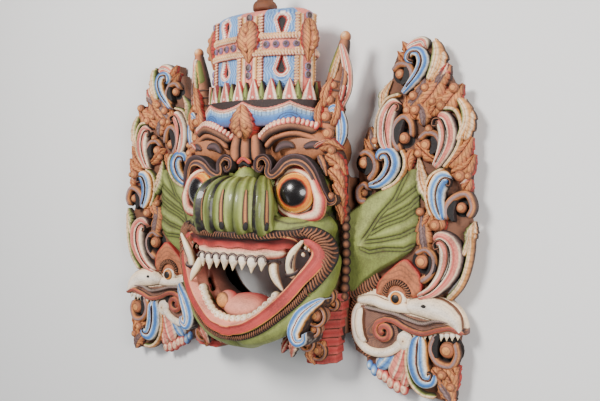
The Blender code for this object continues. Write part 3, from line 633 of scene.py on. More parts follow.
# %% Scrolls
SCROLLS = (
    ("blue_scroll", ((208, 280), (220, 294), (231, 308), (236, 322), (231, 334), (220, 336), (214, 328),
                     (219, 321)),
     (3, 6, 8, 9, 8, 6, 5, 3)),
    ("pink_scroll", ((190, 203), (184, 218), (183, 236), (186, 252), (194, 265), (203, 268)),
     (6, 11, 13, 13, 11, 8)),
    ("pink_scroll", ((256, 180), (265, 196), (271, 212), (272, 228), (266, 243), (257, 245)),
     (5, 9, 12, 13, 12, 8)),
    ("blue_scroll", ((268, 112), (262, 126), (259, 140), (260, 154), (267, 166), (279, 167)),
     (5, 10, 12, 13, 12, 7)),
    ("pink_scroll", ((236, 8), (256, 18), (272, 36), (280, 56), (279, 76), (268, 87), (257, 82)),
     (5, 9, 13, 16, 16, 12, 8)),
    ("blue_scroll", ((160, 156), (176, 160), (190, 173), (195, 188), (189, 200), (178, 199), (175, 190)),
     (4, 8, 11, 12, 10, 8, 5)),
    ("blue_scroll", ((240, -42), (238, -62), (239, -82), (246, -98), (257, -99), (261, -90)),
     (10, 14, 15, 13, 9, 6)),
)
RIMS = (
    ("gold_rim", ((168, 208), (168, 238), (173, 258), (184, 275), (203, 281)), 3.5),
    ("gold_rim", ((266, 180), (280, 198), (288, 216), (289, 238), (280, 256), (262, 259)), 4),
    ("gold_rim", ((276, 8), (292, 28), (301, 52), (305, 80), (303, 104)), 5),
    ("gold_rim", ((252, 116), (245, 134), (243, 152), (250, 170), (266, 180)), 3.5),
    ("gold_rim", ((178, 150), (198, 160), (210, 176), (212, 192), (206, 206)), 4),
    ("gold_rim", ((224, -50), (221, -80), (228, -106), (244, -120), (262, -121)), 4),
    ("gold_rim", ((242, 296), (250, 314), (254, 334), (250, 350)), (5, 9, 9, 4)),
    ("gold_rim", ((284, 214), (295, 238), (294, 256), (284, 272)), (5, 8, 8, 4)),
    ("gold_rim", ((296, 66), (303, 86), (306, 106)), (5, 7, 5)),
    ("pink_scroll", ((210, 340), (221, 346), (233, 348), (238, 340)), (5, 9, 9, 6)),
)

wing_scrolls = Carving("wing_scrolls", "wing_paint", "wing")
for finish, spine, widths in SCROLLS:
    stroke(wing_scrolls, level(spine, WING_TOP), widths, 16.5, finish)
for finish, spine, width in RIMS:
    stroke(wing_scrolls, level(spine, WING_TOP - 2), width, 14, finish, ROUND)

# %% Volutes
VOLUTES = (
    (((212, 284), (220, 303), (214, 318), (201, 321), (191, 312)), (202, 308), 8),
    (((204, 203), (195, 222), (198, 241), (210, 250), (220, 240), (222, 222)), (210, 221), 9),
    (((262, 184), (263, 206), (257, 223), (243, 227), (231, 218)), (241, 211), 9),
    (((272, 112), (274, 132), (286, 144), (300, 146), (307, 130), (301, 116)), (292, 129), 8),
    (((238, 28), (254, 42), (257, 60), (246, 72), (230, 66)), (240, 56), 11),
    (((158, 162), (168, 178), (166, 194), (154, 203), (143, 198)), (151, 188), 10),
    (((156, 134), (145, 136), (143, 150), (152, 158), (160, 150)), (151, 146), 6),
    (((262, -38), (256, -58), (265, -75), (283, -77), (291, -62), (288, -46)), (278, -57), 12),
)


def volute(into, band, centre, radius):
    """A ball in a dark pool, with a band curling round it."""
    x, y = centre
    ball(into, (x, y, WING_TOP - 1), (radius * 1.75, radius * 1.75, 2.5), "pool", rings=3)
    stroke(into, level(band, WING_TOP), np.linspace(6.5, 4.5, len(band)), 13, "brown_band", ROUND)
    ball(into, (x, y, WING_TOP + 5), (radius * .92, radius * .92, radius * 0.9), "curl_brown")


CRESCENTS = (((205, 292), (214, 304), (211, 318)), ((201, 210), (202, 232), (211, 247)),
             ((248, 198), (256, 209), (251, 223)), ((284, 110), (279, 124), (286, 139)),
             ((246, 36), (256, 49), (252, 66)), ((154, 170), (162, 182), (157, 197)),
             ((268, -36), (261, -51), (265, -70)))

for band, centre, radius in VOLUTES:
    volute(wing_scrolls, band, centre, radius)
CURL_LINES = (
    ((190, 210), (185, 235), (188, 255), (196, 267), (205, 265), (204, 258), (199, 259)),
    ((258, 186), (268, 208), (270, 228), (264, 243), (255, 244), (253, 236), (259, 235)),
    ((266, 118), (260, 140), (262, 156), (270, 167), (279, 164), (278, 157), (273, 159)),
    ((244, 11), (264, 27), (277, 54), (277, 76), (268, 86), (259, 82), (260, 74), (266, 76)),
    ((168, 158), (184, 167), (193, 185), (189, 198), (180, 199), (177, 192), (182, 190)),
    ((240, -50), (239, -80), (246, -97), (257, -98), (259, -90), (253, -88)),
    ((214, 288), (228, 304), (235, 322), (230, 334), (220, 334), (217, 326), (223, 323)),
)
for path in CURL_LINES:
    stroke(wing_scrolls, level(path, WING_TOP + 13.5), np.linspace(.9, 2.1, len(path)), 4.5, "curl_line",
           ROUND)
for path in CRESCENTS:
    stroke(wing_scrolls, level(path, WING_TOP + 5), (1.5, 5.5, 1.5), 7.5, "pool", FLAT)
wing_scrolls.finish()

# %% [markdown]
# ### Leaves
# Brown and gold leaves fill the ground and make the ragged outer edge. A leaf is the same
# stroke with a pointed outline, a notched edge and a groove down the middle. Leaves are drawn
# larger than the gaps they fill and overlap like roof tiles.

# %% Leaves
LEAVES = (
    ("brown_leaf", ((212, 322), (196, 340)), 6),
    ("brown_leaf", ((214, 334), (203, 353)), 5),
    ("gold_leaf", ((243, 296), (256, 322), (250, 352)), 9),
    ("red_leaf", ((258, 300), (268, 318)), 8),
    ("mauve_leaf", ((252, 288), (271, 316)), 9),
    ("gold_leaf", ((180, 252), (176, 280), (188, 301)), 6),
    ("brown_leaf", ((160, 204), (149, 222)), 6),
    ("mauve_leaf", ((168, 206), (158, 238)), 8),
    ("brown_leaf", ((232, 262), (252, 284), (262, 308)), 13),
    ("mauve_leaf", ((214, 262), (232, 284), (240, 304)), 10),
    ("brown_leaf", ((262, 256), (289, 290)), 12),
    ("gold_leaf", ((292, 216), (297, 244), (292, 270)), 8),
    ("mauve_leaf", ((238, 236), (236, 254), (226, 272)), 9),
    ("brown_leaf", ((246, 250), (262, 268), (276, 278)), 9),
    ("brown_leaf", ((272, 182), (290, 200), (303, 220)), 11),
    ("brown_leaf", ((276, 172), (296, 180), (307, 198)), 9),
    ("red_leaf", ((288, 160), (304, 176)), 7),
    ("brown_leaf", ((294, 150), (303, 166)), 6),
    ("gold_leaf", ((250, 136), (236, 160), (230, 196)), 9),
    ("brown_leaf", ((226, 214), (246, 196), (262, 188)), 7),
    ("brown_leaf", ((240, 100), (250, 120), (240, 136)), 8),
    ("mauve_leaf", ((246, 64), (240, 96), (238, 128)), 10),
    ("brown_leaf", ((256, 96), (262, 112), (256, 130)), 8),
    ("gold_leaf", ((300, 84), (309, 112)), 7),
    ("brown_leaf", ((222, 206), (216, 190), (218, 176)), 7),
    ("brown_leaf", ((224, 246), (214, 262), (212, 282)), 8),
    ("brown_leaf", ((268, -80), (282, -94), (288, -112)), 10),
    ("mauve_leaf", ((266, -100), (280, -116), (284, -130)), 9),
    ("brown_leaf", ((256, -84), (272, -100), (270, -122)), 9),
    ("brown_leaf", ((284, -76), (290, -90)), 7),
)
FEATHERS = (
    ("blue_feather", ((200, -62), (190, -80), (176, -96)), (8, 13, 9), 10),
    ("pink_feather", ((218, -58), (210, -86), (200, -108)), (9, 15, 13), 12),
    ("pink_feather", ((228, -58), (222, -92), (216, -116)), (6, 9, 7), 10),
)
FEATHER_TIPS = ((164, -94, 5), (171, -100, 6), (180, -104, 6), (188, -107, 6), (196, -113, 6.5),
                (206, -117, 6.5), (216, -119, 6))
CURLS = (
    (223, 277, 7), (226, 258, 7), (239, 287, 6), (262, 262, 7), (279, 284, 7), (290, 170, 8),
    (258, 105, 8), (272, -90, 7), (300, 170, 5), (246, 232, 6), (232, 200, 6), (168, 218, 6),
    (214, 258, 6), (236, 122, 6), (284, -104, 6), (250, 268, 6),
)

wing_leaves = Carving("wing_leaves", "wing_paint", "wing")
leaves(wing_leaves, LEAVES, 12, grow=1.45, base=WING_TOP - 1)
for x, y, radius in CURLS:
    ball(wing_leaves, (x, y, WING_TOP + 8), (radius, radius, radius * 1.1), "curl_brown")
for finish, path, widths, height in FEATHERS:
    stroke(wing_leaves, level(path, WING_TOP - 2), widths, height, finish, ROUND)
for x, y, radius in FEATHER_TIPS:
    ball(wing_leaves, (x, y, WING_TOP), (radius, radius * 1.5, 7),
         "scallop_blue" if x < 175 else "scallop_pink")
wing_leaves.finish()

# %% [markdown]
# ### The ear
# The ear is a broad green leaf with a double dark line along each vein. Its surface is a sheet
# of points that run from the rim to the root, so the height and the colour of each point can
# be worked out from how far it lies from the nearest vein.

# %% Plates with drawn lines
PLATE_STEP = 1.8


def away(places, line):
    """How far each (x, y) place lies from a line of points."""
    line = np.asarray(line, float)[:, :2]
    a, b = line[:-1], line[1:]
    span = b - a
    t = np.einsum("nmk,mk->nm", places[:, None, :] - a[None], span) / np.maximum((span ** 2).sum(1), 1e-9)
    near = a[None] + np.clip(t, 0, 1)[..., None] * span[None]
    return np.linalg.norm(places[:, None, :] - near, axis=2).min(axis=1)


def plate(into, outline, root, foot, height_of, tint_of, rings=56):
    """A sheet from a rim to a root. height_of and tint_of get the places and the share out to the rim."""
    rim = smooth_path([*outline, outline[0]], PLATE_STEP)[:-1, :2]
    share = np.concatenate([[1.0, 1.0], np.linspace(1, 0.03, rings) ** 0.8])
    places = np.asarray(root, float) + share[:, None, None] * (rim - np.asarray(root, float))[None]
    flat = places.reshape(-1, 2)
    shares = np.repeat(share, len(rim))
    z = height_of(flat, shares).reshape(places.shape[:2])
    z[0] = foot
    z[1] = (foot + z[2]) / 2
    tints = tint_of(flat, shares).reshape(*places.shape[:2], 3)
    points = np.concatenate([places, z[..., None]], axis=2)
    into.grid(points, places * MM, "coloured", tints=tints)


def rgb(name):
    return np.array(linear(COLOURS[name])[:3])


def flat_tint(name, places):
    """One colour for every place."""
    return np.broadcast_to(rgb(name), (len(places), 3))


def near_by(distance, width):
    """A share that is 1 at a line or a place and fades smoothly away from it."""
    return np.exp(-(distance / width) ** 2)


def blend(low, high, share):
    share = np.clip(share, 0, 1)[:, None]
    return low * (1 - share) + high * share


# %% The ear
EAR_OUTLINE = (
    (130.5, 120, 0), (150, 134, 0), (162, 143, 0), (186, 156, 0), (206, 168, 0), (217, 177, 0),
    (228, 178, 0),
    (231, 164, 0), (232, 128, 0), (231, 96, 0), (226, 74, 0), (206, 56, 0), (180, 40, 0), (158, 24, 0),
    (130.5, 8, 0),
)
EAR_ROOT, EAR_BOSS = (150, 76), (152, 74)
EAR_VEINS = (
    ((152, 76), (162, 90), (177, 115), (198, 138), (215, 172)),
    ((160, 78), (180, 81), (208, 88), (229, 99)),
    ((166, 90), (186, 102), (212, 112), (230, 124)),
    ((178, 108), (200, 118), (222, 130), (231, 140)),
    ((190, 127), (208, 138), (228, 153)),
    ((152, 68), (164, 64), (186, 69), (214, 70), (226, 76)),
)
VEIN_LINE = 2.3


def ear_height(places, share):
    near = np.min([away(places, v) for v in EAR_VEINS], axis=0)
    root = np.linalg.norm(places - EAR_ROOT, axis=1)
    bulge = 3.0 * np.clip(near / 9, 0, 1) ** 0.7 * np.clip((1.06 - share) * 7, 0, 1)
    groove = 1.4 * near_by(near - VEIN_LINE, 0.9)
    boss = 4 * near_by(np.linalg.norm(places - EAR_BOSS, axis=1), 6)
    rim = 3 * np.clip((share - 0.93) * 14, 0, 1)
    return 27 + 7 * near_by(root, 42) + bulge - groove + boss - rim


def ear_tint(places, share):
    near = np.min([away(places, v) for v in EAR_VEINS], axis=0)
    veined = np.clip((places[:, 1] - np.interp(places[:, 0], (150, 190, 230), (80, 62, 68))) / 10, 0, 1)
    veined = veined * np.clip((places[:, 0] * .8 + 10 - places[:, 1] + 40) / 12, 0, 1)
    strokes = .5 + .5 * np.sin(places[:, 0] * 1.3 + 3 * np.sin(places[:, 1] * .22))
    tint = blend(flat_tint("green", places), rgb("moss"), strokes * .3)
    # Paler green away from the veins, where the ear bulges most, and most in the veined part: a painted
    # highlight on the swellings.
    tint = blend(tint, rgb("pale_green"), np.clip((near - 3) / 6, 0, 1) * (.25 + .6 * veined))
    tint = blend(tint, rgb("moss"), np.clip((share - 0.86) * 6, 0, 0.8))
    tint = blend(tint, rgb("dark"), near_by(near - VEIN_LINE, 0.85) * 0.9)
    return blend(tint, rgb("pale_green"), near_by(np.linalg.norm(places - EAR_BOSS, axis=1), 6))


wing_ear = Carving("wing_ear", "wing_paint", "wing")
plate(wing_ear, EAR_OUTLINE, EAR_ROOT, WING_TOP - 6, ear_height, ear_tint)
wing_ear.finish()

# %% [markdown]
# ### The bird's head
# A cream bird's head with a hooked beak, a red lip that ends in a spiral and a stippled cheek.
# Its plate carries the flat colours, and the strokes on it are the forehead, the beak, the
# wavy mouth line, the lip and the cheek band. Its teeth and its eye follow further down.

# %% The bird's head
BIRD_OUTLINE = (
    (138, 2, 0), (158, 10, 0), (176, 16, 0), (190, 26, 0), (208, 32, 0), (226, 24, 0), (236, 10, 0),
    (256, 11, 0),
    (274, 9, 0), (288, 2, 0), (299, -12, 0), (303, -34, 0), (284, -34, 0), (264, -38, 0), (246, -44, 0),
    (232, -50, 0),
    (222, -66, 0), (204, -74, 0), (184, -78, 0), (164, -77, 0), (146, -68, 0), (137, -52, 0),
    (136, -20, 0),
)
BIRD_EYE = (206, 4, 31)
BIRD_SPIRAL = (189, -42)


def bird_height(places, share):
    beak = np.clip((places[:, 0] - 215) / 60, 0, 1)
    return 29 - 6 * np.clip((share - 0.85) * 7, 0, 1) + 1.5 * beak


def bird_tint(places, share):
    stipple = np.sin(places[:, 0] * 2.1) * np.sin(places[:, 1] * 2.3 + places[:, 0] * 0.4)
    cheek = blend(flat_tint("plum", places), rgb("ochre"), 0.15 + 0.4 * stipple)
    upper = places[:, 1] > np.interp(places[:, 0], (136, 180, 240, 300), (-10, -10, -19, -26))
    return np.where(upper[:, None], rgb("cream")[None], cheek)


def spiral(centre, start, stop, turns, begin, count=14):
    """Points that wind in from radius start to stop. begin is the first point's angle in degrees."""
    t = np.linspace(0, 1, count)
    angle = math.radians(begin) + t * turns * math.tau
    radius = start + (stop - start) * t
    return [(centre[0] + r * math.cos(a), centre[1] + r * math.sin(a)) for r, a in zip(radius, angle)]


wing_bird = Carving("wing_bird", "wing_paint", "wing")
plate(wing_bird, BIRD_OUTLINE, (196, -22), WING_TOP - 4, bird_height, bird_tint, rings=40)
BIRD_TOP = 27.0
stroke(wing_bird, level(((146, -4), (170, -2), (190, -7), (214, -8), (238, -9)), BIRD_TOP),
       (5, 8, 8, 8, 6), 7, "cream_band", ROUND)
stroke(wing_bird, level(((220, -5), (246, -4), (269, -7), (286, -16), (296, -31)), BIRD_TOP - 1),
       (9, 15, 16, 12, 3), 12, "cream_band", ROUND, round_ends=(True, False))
stroke(wing_bird, level(((158, -12), (186, -15), (204, -17), (222, -22), (244, -26), (264, -20),
                         (286, -21), (298, -31)), BIRD_TOP), 3, 9.5, "grey_band", ROUND)
lip_line = ((300, -33), (284, -28), (266, -32), (245, -39), (222, -35), (204, -27), (190, -26))
stroke(wing_bird, level((*lip_line, *spiral(BIRD_SPIRAL, 15, 3, 1.5, 90)), BIRD_TOP),
       np.linspace(4, 5.4, 21), 11, "red_band", ROUND)
stroke(wing_bird, level(((150, -8), (143, -22), (142, -40), (148, -58), (164, -71), (184, -73),
                         (202, -66), (214, -54)), BIRD_TOP - 1), (5, 6, 6, 7, 7, 7, 7, 8), 8,
       "cream_band", ROUND)
stroke(wing_bird, level(((153, -14), (151, -32), (154, -50), (162, -60)), BIRD_TOP), (5, 6, 6, 3), 8,
       "cream_band", FLAT)
stroke(wing_bird, level(((206, -30), (212, -42), (208, -56)), BIRD_TOP), (3, 4, 2), 3.5, "pool", ROUND)
ball(wing_bird, (218, -52, BIRD_TOP), (12, 14, 8), "cream_band")
wing_bird.finish()

# %% [markdown]
# ## Rows of small things
# Beads, teeth, rope twists, hairs, scallops and jewels all repeat along a line. One Geometry
# Nodes tree does them all: it puts a copy of a small carved shape on every point of a path,
# stands it up along the point's own direction, varies its size a little with a fixed seed,
# and makes real mesh of the result.


# %% The row tree
def row_tree():
    tree = bpy.data.node_groups.new("row_of_copies", "GeometryNodeTree")
    sockets = (("Path", "NodeSocketGeometry", None), ("Copy", "NodeSocketObject", None),
               ("Size", "NodeSocketFloat", 1.0), ("Unevenness", "NodeSocketFloat", 0.06),
               ("Seed", "NodeSocketInt", 1), ("Paint", "NodeSocketMaterial", None))
    for label, kind, value in sockets:
        socket = tree.interface.new_socket(label, in_out="INPUT", socket_type=kind)
        if value is not None:
            socket.default_value = value
    tree.interface.new_socket("Carved", in_out="OUTPUT", socket_type="NodeSocketGeometry")
    t = Tree(tree)
    given = t.node("NodeGroupInput").outputs

    def read(name, kind):
        return t.node("GeometryNodeInputNamedAttribute", {"Name": name},
                      data_type=kind).outputs["Attribute"]

    stand, run, size = read("up", "FLOAT_VECTOR"), read("run", "FLOAT_VECTOR"), read("size", "FLOAT")
    turned = t.node("FunctionNodeAxesToRotation", {0: stand, 1: run}, primary_axis="Z",
                    secondary_axis="X")
    vary = t.node("FunctionNodeRandomValue", {"Seed": given["Seed"]}, data_type="FLOAT")
    tree.links.new(t.math("SUBTRACT", 1.0, given["Unevenness"]), vary.inputs[2])
    tree.links.new(t.math("ADD", 1.0, given["Unevenness"]), vary.inputs[3])
    scale = t.math("MULTIPLY", t.math("MULTIPLY", size, given["Size"]), vary.outputs[1])
    copy = t.node("GeometryNodeObjectInfo", {"Object": given["Copy"]}).outputs["Geometry"]
    sockets = {"Points": given["Path"], "Instance": copy, "Rotation": turned.outputs[0], "Scale": scale}
    laid = t.node("GeometryNodeInstanceOnPoints", sockets).outputs[0]
    real = t.node("GeometryNodeRealizeInstances", {0: laid}).outputs[0]
    painted = t.node("GeometryNodeSetMaterial", {"Geometry": real, "Material": given["Paint"]}).outputs[0]
    t.node("NodeGroupOutput", {0: painted})
    return tree


ROW_TREE = row_tree()
ROW_SOCKETS = ROW_TREE.interface.items_tree
ROW_INPUTS = {item.name: item.identifier for item in ROW_SOCKETS if item.in_out == "INPUT"}


def row(into, path, make_copy, spacing, paint_name, size=1.0, up=(0, 0, 1), lean=0.0, uneven=0.06,
        seed=1):
    """Lays copies along a path of (x, y, z).

    make_copy(collector) makes one copy, with X along the path and Z up.
    """
    path = np.asarray(path, float)
    sizes = np.broadcast_to(np.asarray(size, float), (len(path),))
    ups = np.broadcast_to(np.asarray(up, float), (len(path), 3))
    points = smooth_path(np.column_stack([path, sizes, ups]), spacing)
    ups = unit(points[:, 4:7])
    tangent = unit(np.gradient(points[:, :3], axis=0))
    side = np.cross(ups, tangent)
    tangent = unit(tangent * math.cos(lean) + side * math.sin(lean))
    line = bpy.data.meshes.new("row_path")
    line.from_pydata(points[:, :3].tolist(), [], [])
    for name, kind, values in (("up", "FLOAT_VECTOR", ups), ("run", "FLOAT_VECTOR", tangent)):
        line.attributes.new(name, kind, "POINT").data.foreach_set("vector",
            values.astype(np.float32).ravel())
    line.attributes.new("size", "FLOAT", "POINT").data.foreach_set("value",
        points[:, 3].astype(np.float32))
    single = Carving("single", "", "")
    make_copy(single)
    copy = bpy.data.objects.new("copy", single.mesh("copy", lambda p: p))
    holder = bpy.data.objects.new("row", line)
    for obj in (copy, holder):
        bpy.context.scene.collection.objects.link(obj)
    nodes = holder.modifiers.new("Row", "NODES")
    nodes.node_group = ROW_TREE
    for label, value in (("Copy", copy), ("Size", 1.0), ("Unevenness", uneven), ("Seed", seed),
                         ("Paint", PAINTS[paint_name])):
        nodes[ROW_INPUTS[label]] = value
    graph = bpy.context.evaluated_depsgraph_get()
    made = bpy.data.meshes.new_from_object(holder.evaluated_get(graph))
    into.take(made, paint_name)
    for obj in (copy, holder):
        bpy.data.objects.remove(obj)


def rope(into, path, radii, paint_name, up=(0, 0, 1), spacing=2.0, sides=14):
    """A round rod of changing thickness."""
    circle = [(-math.cos(a), math.sin(a)) for a in np.linspace(-math.pi / 2, math.pi * 1.5, sides,
        endpoint=False)]
    stroke(into, path, radii, radii, paint_name, section=circle, up=up, spacing=spacing, sink=0.0)


print("row tree with", len(ROW_TREE.nodes), "nodes and inputs", sorted(ROW_INPUTS))

# %% [markdown]
# ## More paints, for the face and the crown

# %% Face and crown paints
# nose_green is paler green along the top of each of a petal's two humps: a painted highlight.
paint("nose_green",
      "0 black, 2 moss, 20 green, 32 pale_green, 42 green, 50 moss, 58 green, 68 pale_green, 80 green, "
      "98 moss, 100 black", wear=.18, grime=.3, gloss=.75, coat=.25)
paint("slot", "0 black, 25 bark, 50 ochre, 75 bark, 100 black", wear=.1)
paint("bridge", "0 moss, 20 green, 50 pale_green, 80 green, 100 moss", wear=.2, gloss=.5)
paint("lid", "0 black, 10 moss, 30 pale_green, 50 green, 80 green, 92 moss, 100 black", wear=.2, gloss=.5)
paint("eye",
      "0 black, 36 black, 39 dark, 42 wood, 45 red, 50 orange, 60 orange, 66 yellow, 71 orange, "
      "73 red, 75 dark, 76.5 cream, 100 pink", wear=.03, grime=.1, gloss=1.2, coat=.6)
paint("eye_rim", "0 dark, 15 pink, 40 cream, 60 cream, 85 pink, 100 rose", wear=.15)
paint("brow",
      "0 black, 10 plum, 35 dark, 44 dark, 50 brown, 58 brown, 64 dark, 85 plum, 93 ochre, 100 dark",
      wear=.3)
paint("lip",
      "0 crimson, 3 gold, 7 gold, 11 red, 35 lip, 60 rose, 90 lip, 95 gold, 98 pink, 100 tongue",
      wear=.12, grime=.45, gloss=.4)
paint("lip_cove",
      "0 crimson, 4 gold, 8 ochre, 13 rose, 22 crimson, 50 crimson, 80 red, 92 rose, 100 tongue",
      wear=.1, grime=.45, gloss=.5)
paint("gum", "0 rose, 20 tongue, 50 cream, 80 tongue, 100 rose", wear=.15, gloss=.4)
paint("tooth", "0 bark, 14 bone, 30 white, 60 bone, 86 bone, 100 bark", wear=.08, grime=.35, gloss=.5)
paint("tooth_root", "0 black, 30 plum, 50 grey, 70 plum, 100 black", wear=.1)
paint("tongue_end", "0 ochre, 60 ochre, 80 bark, 100 tongue", wear=.1, gloss=.4)
paint("tongue", "0 tongue, 50 tongue, 100 rose", wear=.1, grime=.25, gloss=.4)
paint("fringe_rib", "0 black, 25 bark, 50 brown, 70 bark, 100 black", wear=.15, grime=.6)
paint("hair_bed", "0 black, 30 dark, 70 dark, 100 black", wear=.1, grime=.6)
paint("strap_pink",
      "0 bark, 8 gold, 20 cream, 30 rose, 36 pink, 64 pink, 70 rose, 80 cream, 92 gold, 100 bark",
      wear=.25)
paint("bead", "0 brown, 30 bark, 65 dark, 85 dark, 100 black", wear=.3, grime=.6)
# A flat black without reflection, for the painted shade deep in the mouth.
paint("deep_dark", "0 void, 100 void", wear=0, grime=0, gloss=0)
PAINTS["deep_dark"].node_tree.nodes["Principled BSDF"].inputs["Specular IOR Level"].default_value = 0.0
paint("skin", None, wear=.16, grime=.32, gloss=.45)
paint("moustache", "0 dark, 30 bark, 50 brown, 75 bark, 100 dark", hatch=(260, .05, .8))
paint("plain_brown", "0 dark, 12 bark, 30 brown, 50 terracotta, 70 brown, 88 bark, 100 dark", wear=.3)
paint("mauve_patch", "0 bark, 15 dark, 50 plum, 85 dark, 100 bark")
paint("rope_gold", "0 cream, 35 gold, 60 cream, 85 pink, 100 bark", wear=.3)
paint("bird_eye",
      "0 black, 40 black, 45 orange, 68 ochre, 74 bark, 80 cream, 100 cream", wear=.08, gloss=.8)
paint("jewel", "0 plum, 35 dark, 55 mauve, 75 blue, 90 rose, 100 dark", wear=.1, gloss=.8)
paint("crown_point",
      "0 rose, 10 cream, 20 white, 30 pink, 42 rose, 50 pink, 58 rose, 70 pink, 80 white, 90 cream, "
      "100 rose", wear=.25)
paint("olive_leaf", "0 dark, 15 moss, 35 green, 50 pale_green, 65 green, 85 moss, 100 dark", wear=.2)
paint("rib_pink", "0 bark, 15 rose, 50 lip, 85 rose, 100 bark", wear=.25)
paint("horn_tip", "0 cream, 40 ochre, 80 brown, 100 bark", wear=.4)
paint("horn_top", "0 moss, 30 green, 50 gold, 70 ochre, 100 moss", wear=.35)
paint("bud_wood", "0 wood, 50 bark, 100 wood", wear=.35, grime=.5, gloss=.3, hatch=(90, .03, .3))
print(len(PAINTS), "paints")

# %% [markdown]
# ## The head
# The head is one bulging form under all its ornament. Balls and rods give the cheeks, the jaw,
# the muzzle and the sockets; a voxel remesh makes one skin of them, and the mouth and the
# hollow are then cut out of it, as the carver hollowed the block from behind.

# %% The shapes under the skin
EYE = (79, 144, 86)
JAW = ((116, 66, 58), (114, 26, 72), (98, -4, 86), (72, -30, 98), (38, -48, 110), (0, -54, 114))
JAW_BACK = ((112, 56, 28), (104, 14, 34), (88, -14, 42), (58, -36, 52), (0, -44, 62))
MUZZLE = ((0, 94, 121), (40, 95, 117), (76, 95, 101), (108, 92, 80), (122, 80, 64))
MOUTH = ((-10, 66), (40, 66), (70, 65), (96, 62), (107, 57), (107, 50), (96, 36), (81, 17), (67, -3),
         (48, -20), (26, -34), (0, -40), (-10, -40))
MOUTH_ROOM = ((0, 40, 0), (94, 70, 98))
HOLLOW = ((0, 98, -14), (110, 120, 76))
SKIN_BALLS = (
    ((0, 112, 6), (130, 126, 82)), ((0, 205, 12), (118, 60, 72)), ((0, 40, 4), (130, 90, 60)),
    ((0, 124, 102), (54, 36, 38)), ((0, 170, 90), (20, 20, 16)), ((0, 26, 30), (114, 80, 58)),
    ((79, 138, 64), (42, 42, 26)), ((72, 210, 72), (48, 28, 20)), ((0, 214, 80), (26, 44, 12)),
)
SKIN_CELL = 2.2


def skin_shapes(into):
    for centre, radii in SKIN_BALLS:
        ball(into, centre, radii, "skin", rings=16, sides=36)
    rope(into, JAW, 20, "skin")
    rope(into, JAW_BACK, (22, 19, 16, 17, 20), "skin")
    rope(into, MUZZLE, 16, "skin")
    rope(into, ((-9, -64, 107), (8, -64, 107), (26, -62, 105), (50, -50, 100)), (12, 12, 12, 9), "skin")
    rope(into, ((-9, -52, 86), (8, -52, 86), (30, -48, 84), (56, -32, 76), (80, -8, 66)),
         (15, 15, 14, 11, 9), "skin")
    rope(into, ((98, 112, 84), (116, 104, 74), (126, 88, 66)), (9, 12, 10), "skin")
    board(into, ((96, -54), (130, -54), (130, 168), (96, 168)), -4, 34, 3, "skin")
    board(into, ((20, 150), (104, 150), (104, 250), (20, 250)), 20, 60, 3, "skin")


def solid(name, make):
    """A loose object for a cut or a remesh, in metres, made by a function that fills a collector."""
    shape = Carving(name, "", "")
    make(shape)
    obj = bpy.data.objects.new(name, shape.mesh(name, to_frame))
    bpy.context.scene.collection.objects.link(obj)
    return obj


def with_mirror_image(obj):
    bm = bmesh.new()
    bm.from_mesh(obj.data)
    copy = obj.data.copy()
    copy.transform(Matrix.Scale(-1, 4, (1, 0, 0)))
    copy.flip_normals()
    bm.from_mesh(copy)
    bm.to_mesh(obj.data)
    bm.free()
    return obj


def apply_modifiers(obj):
    graph = bpy.context.evaluated_depsgraph_get()
    mesh = bpy.data.meshes.new_from_object(obj.evaluated_get(graph))
    obj.modifiers.clear()
    obj.data = mesh


head = with_mirror_image(solid("head", skin_shapes))
remesh = head.modifiers.new("One skin", "REMESH")
remesh.mode = "VOXEL"
remesh.voxel_size = SKIN_CELL * MM
soften = head.modifiers.new("Softened", "SMOOTH")
soften.iterations = 4
soften.factor = 0.6
apply_modifiers(head)
print("head skin:", len(head.data.polygons), "faces")


# %% The cuts
def mouth_cut(into):
    right = [(x, y) for x, y in MOUTH if x >= 0]
    board(into, [*right, *[(-x, y) for x, y in right[::-1] if x > 0]], 20, 260, 0.5, "skin")


def room_cut(into):
    ball(into, *MOUTH_ROOM, "skin", rings=20, sides=48)


def hollow_cut(into):
    ball(into, *HOLLOW, "skin", rings=20, sides=48)


def back_cut(into):
    board(into, ((-300, -300), (300, -300), (300, 600), (-300, 600)), -200, 0.4, 1, "skin")


for cut in (mouth_cut, room_cut, hollow_cut, back_cut):
    tool = solid(cut.__name__, cut)
    cutter = head.modifiers.new(cut.__name__, "BOOLEAN")
    cutter.operation = "DIFFERENCE"
    cutter.object = tool
    apply_modifiers(head)
    bpy.data.objects.remove(tool)
print("after the cuts:", len(head.data.polygons), "faces")

# %% Painting the skin by place
BROW_LINE_X = (0, 12, 22, 34, 48, 68, 88, 104, 114, 121, 128, 136)
BROW_LINE_Y = (176, 176, 168, 168, 172, 186, 188, 180, 162, 140, 122, 104)
CREASES = (
    ((24, 88), (46, 84), (70, 88), (88, 96), (104, 100), (120, 94)),
    ((46, 108), (54, 112), (66, 106), (82, 102), (98, 104), (112, 112), (120, 124)),
    ((104, 112), (114, 116), (122, 124)),
    ((110, 106), (120, 112), (128, 120)),
)


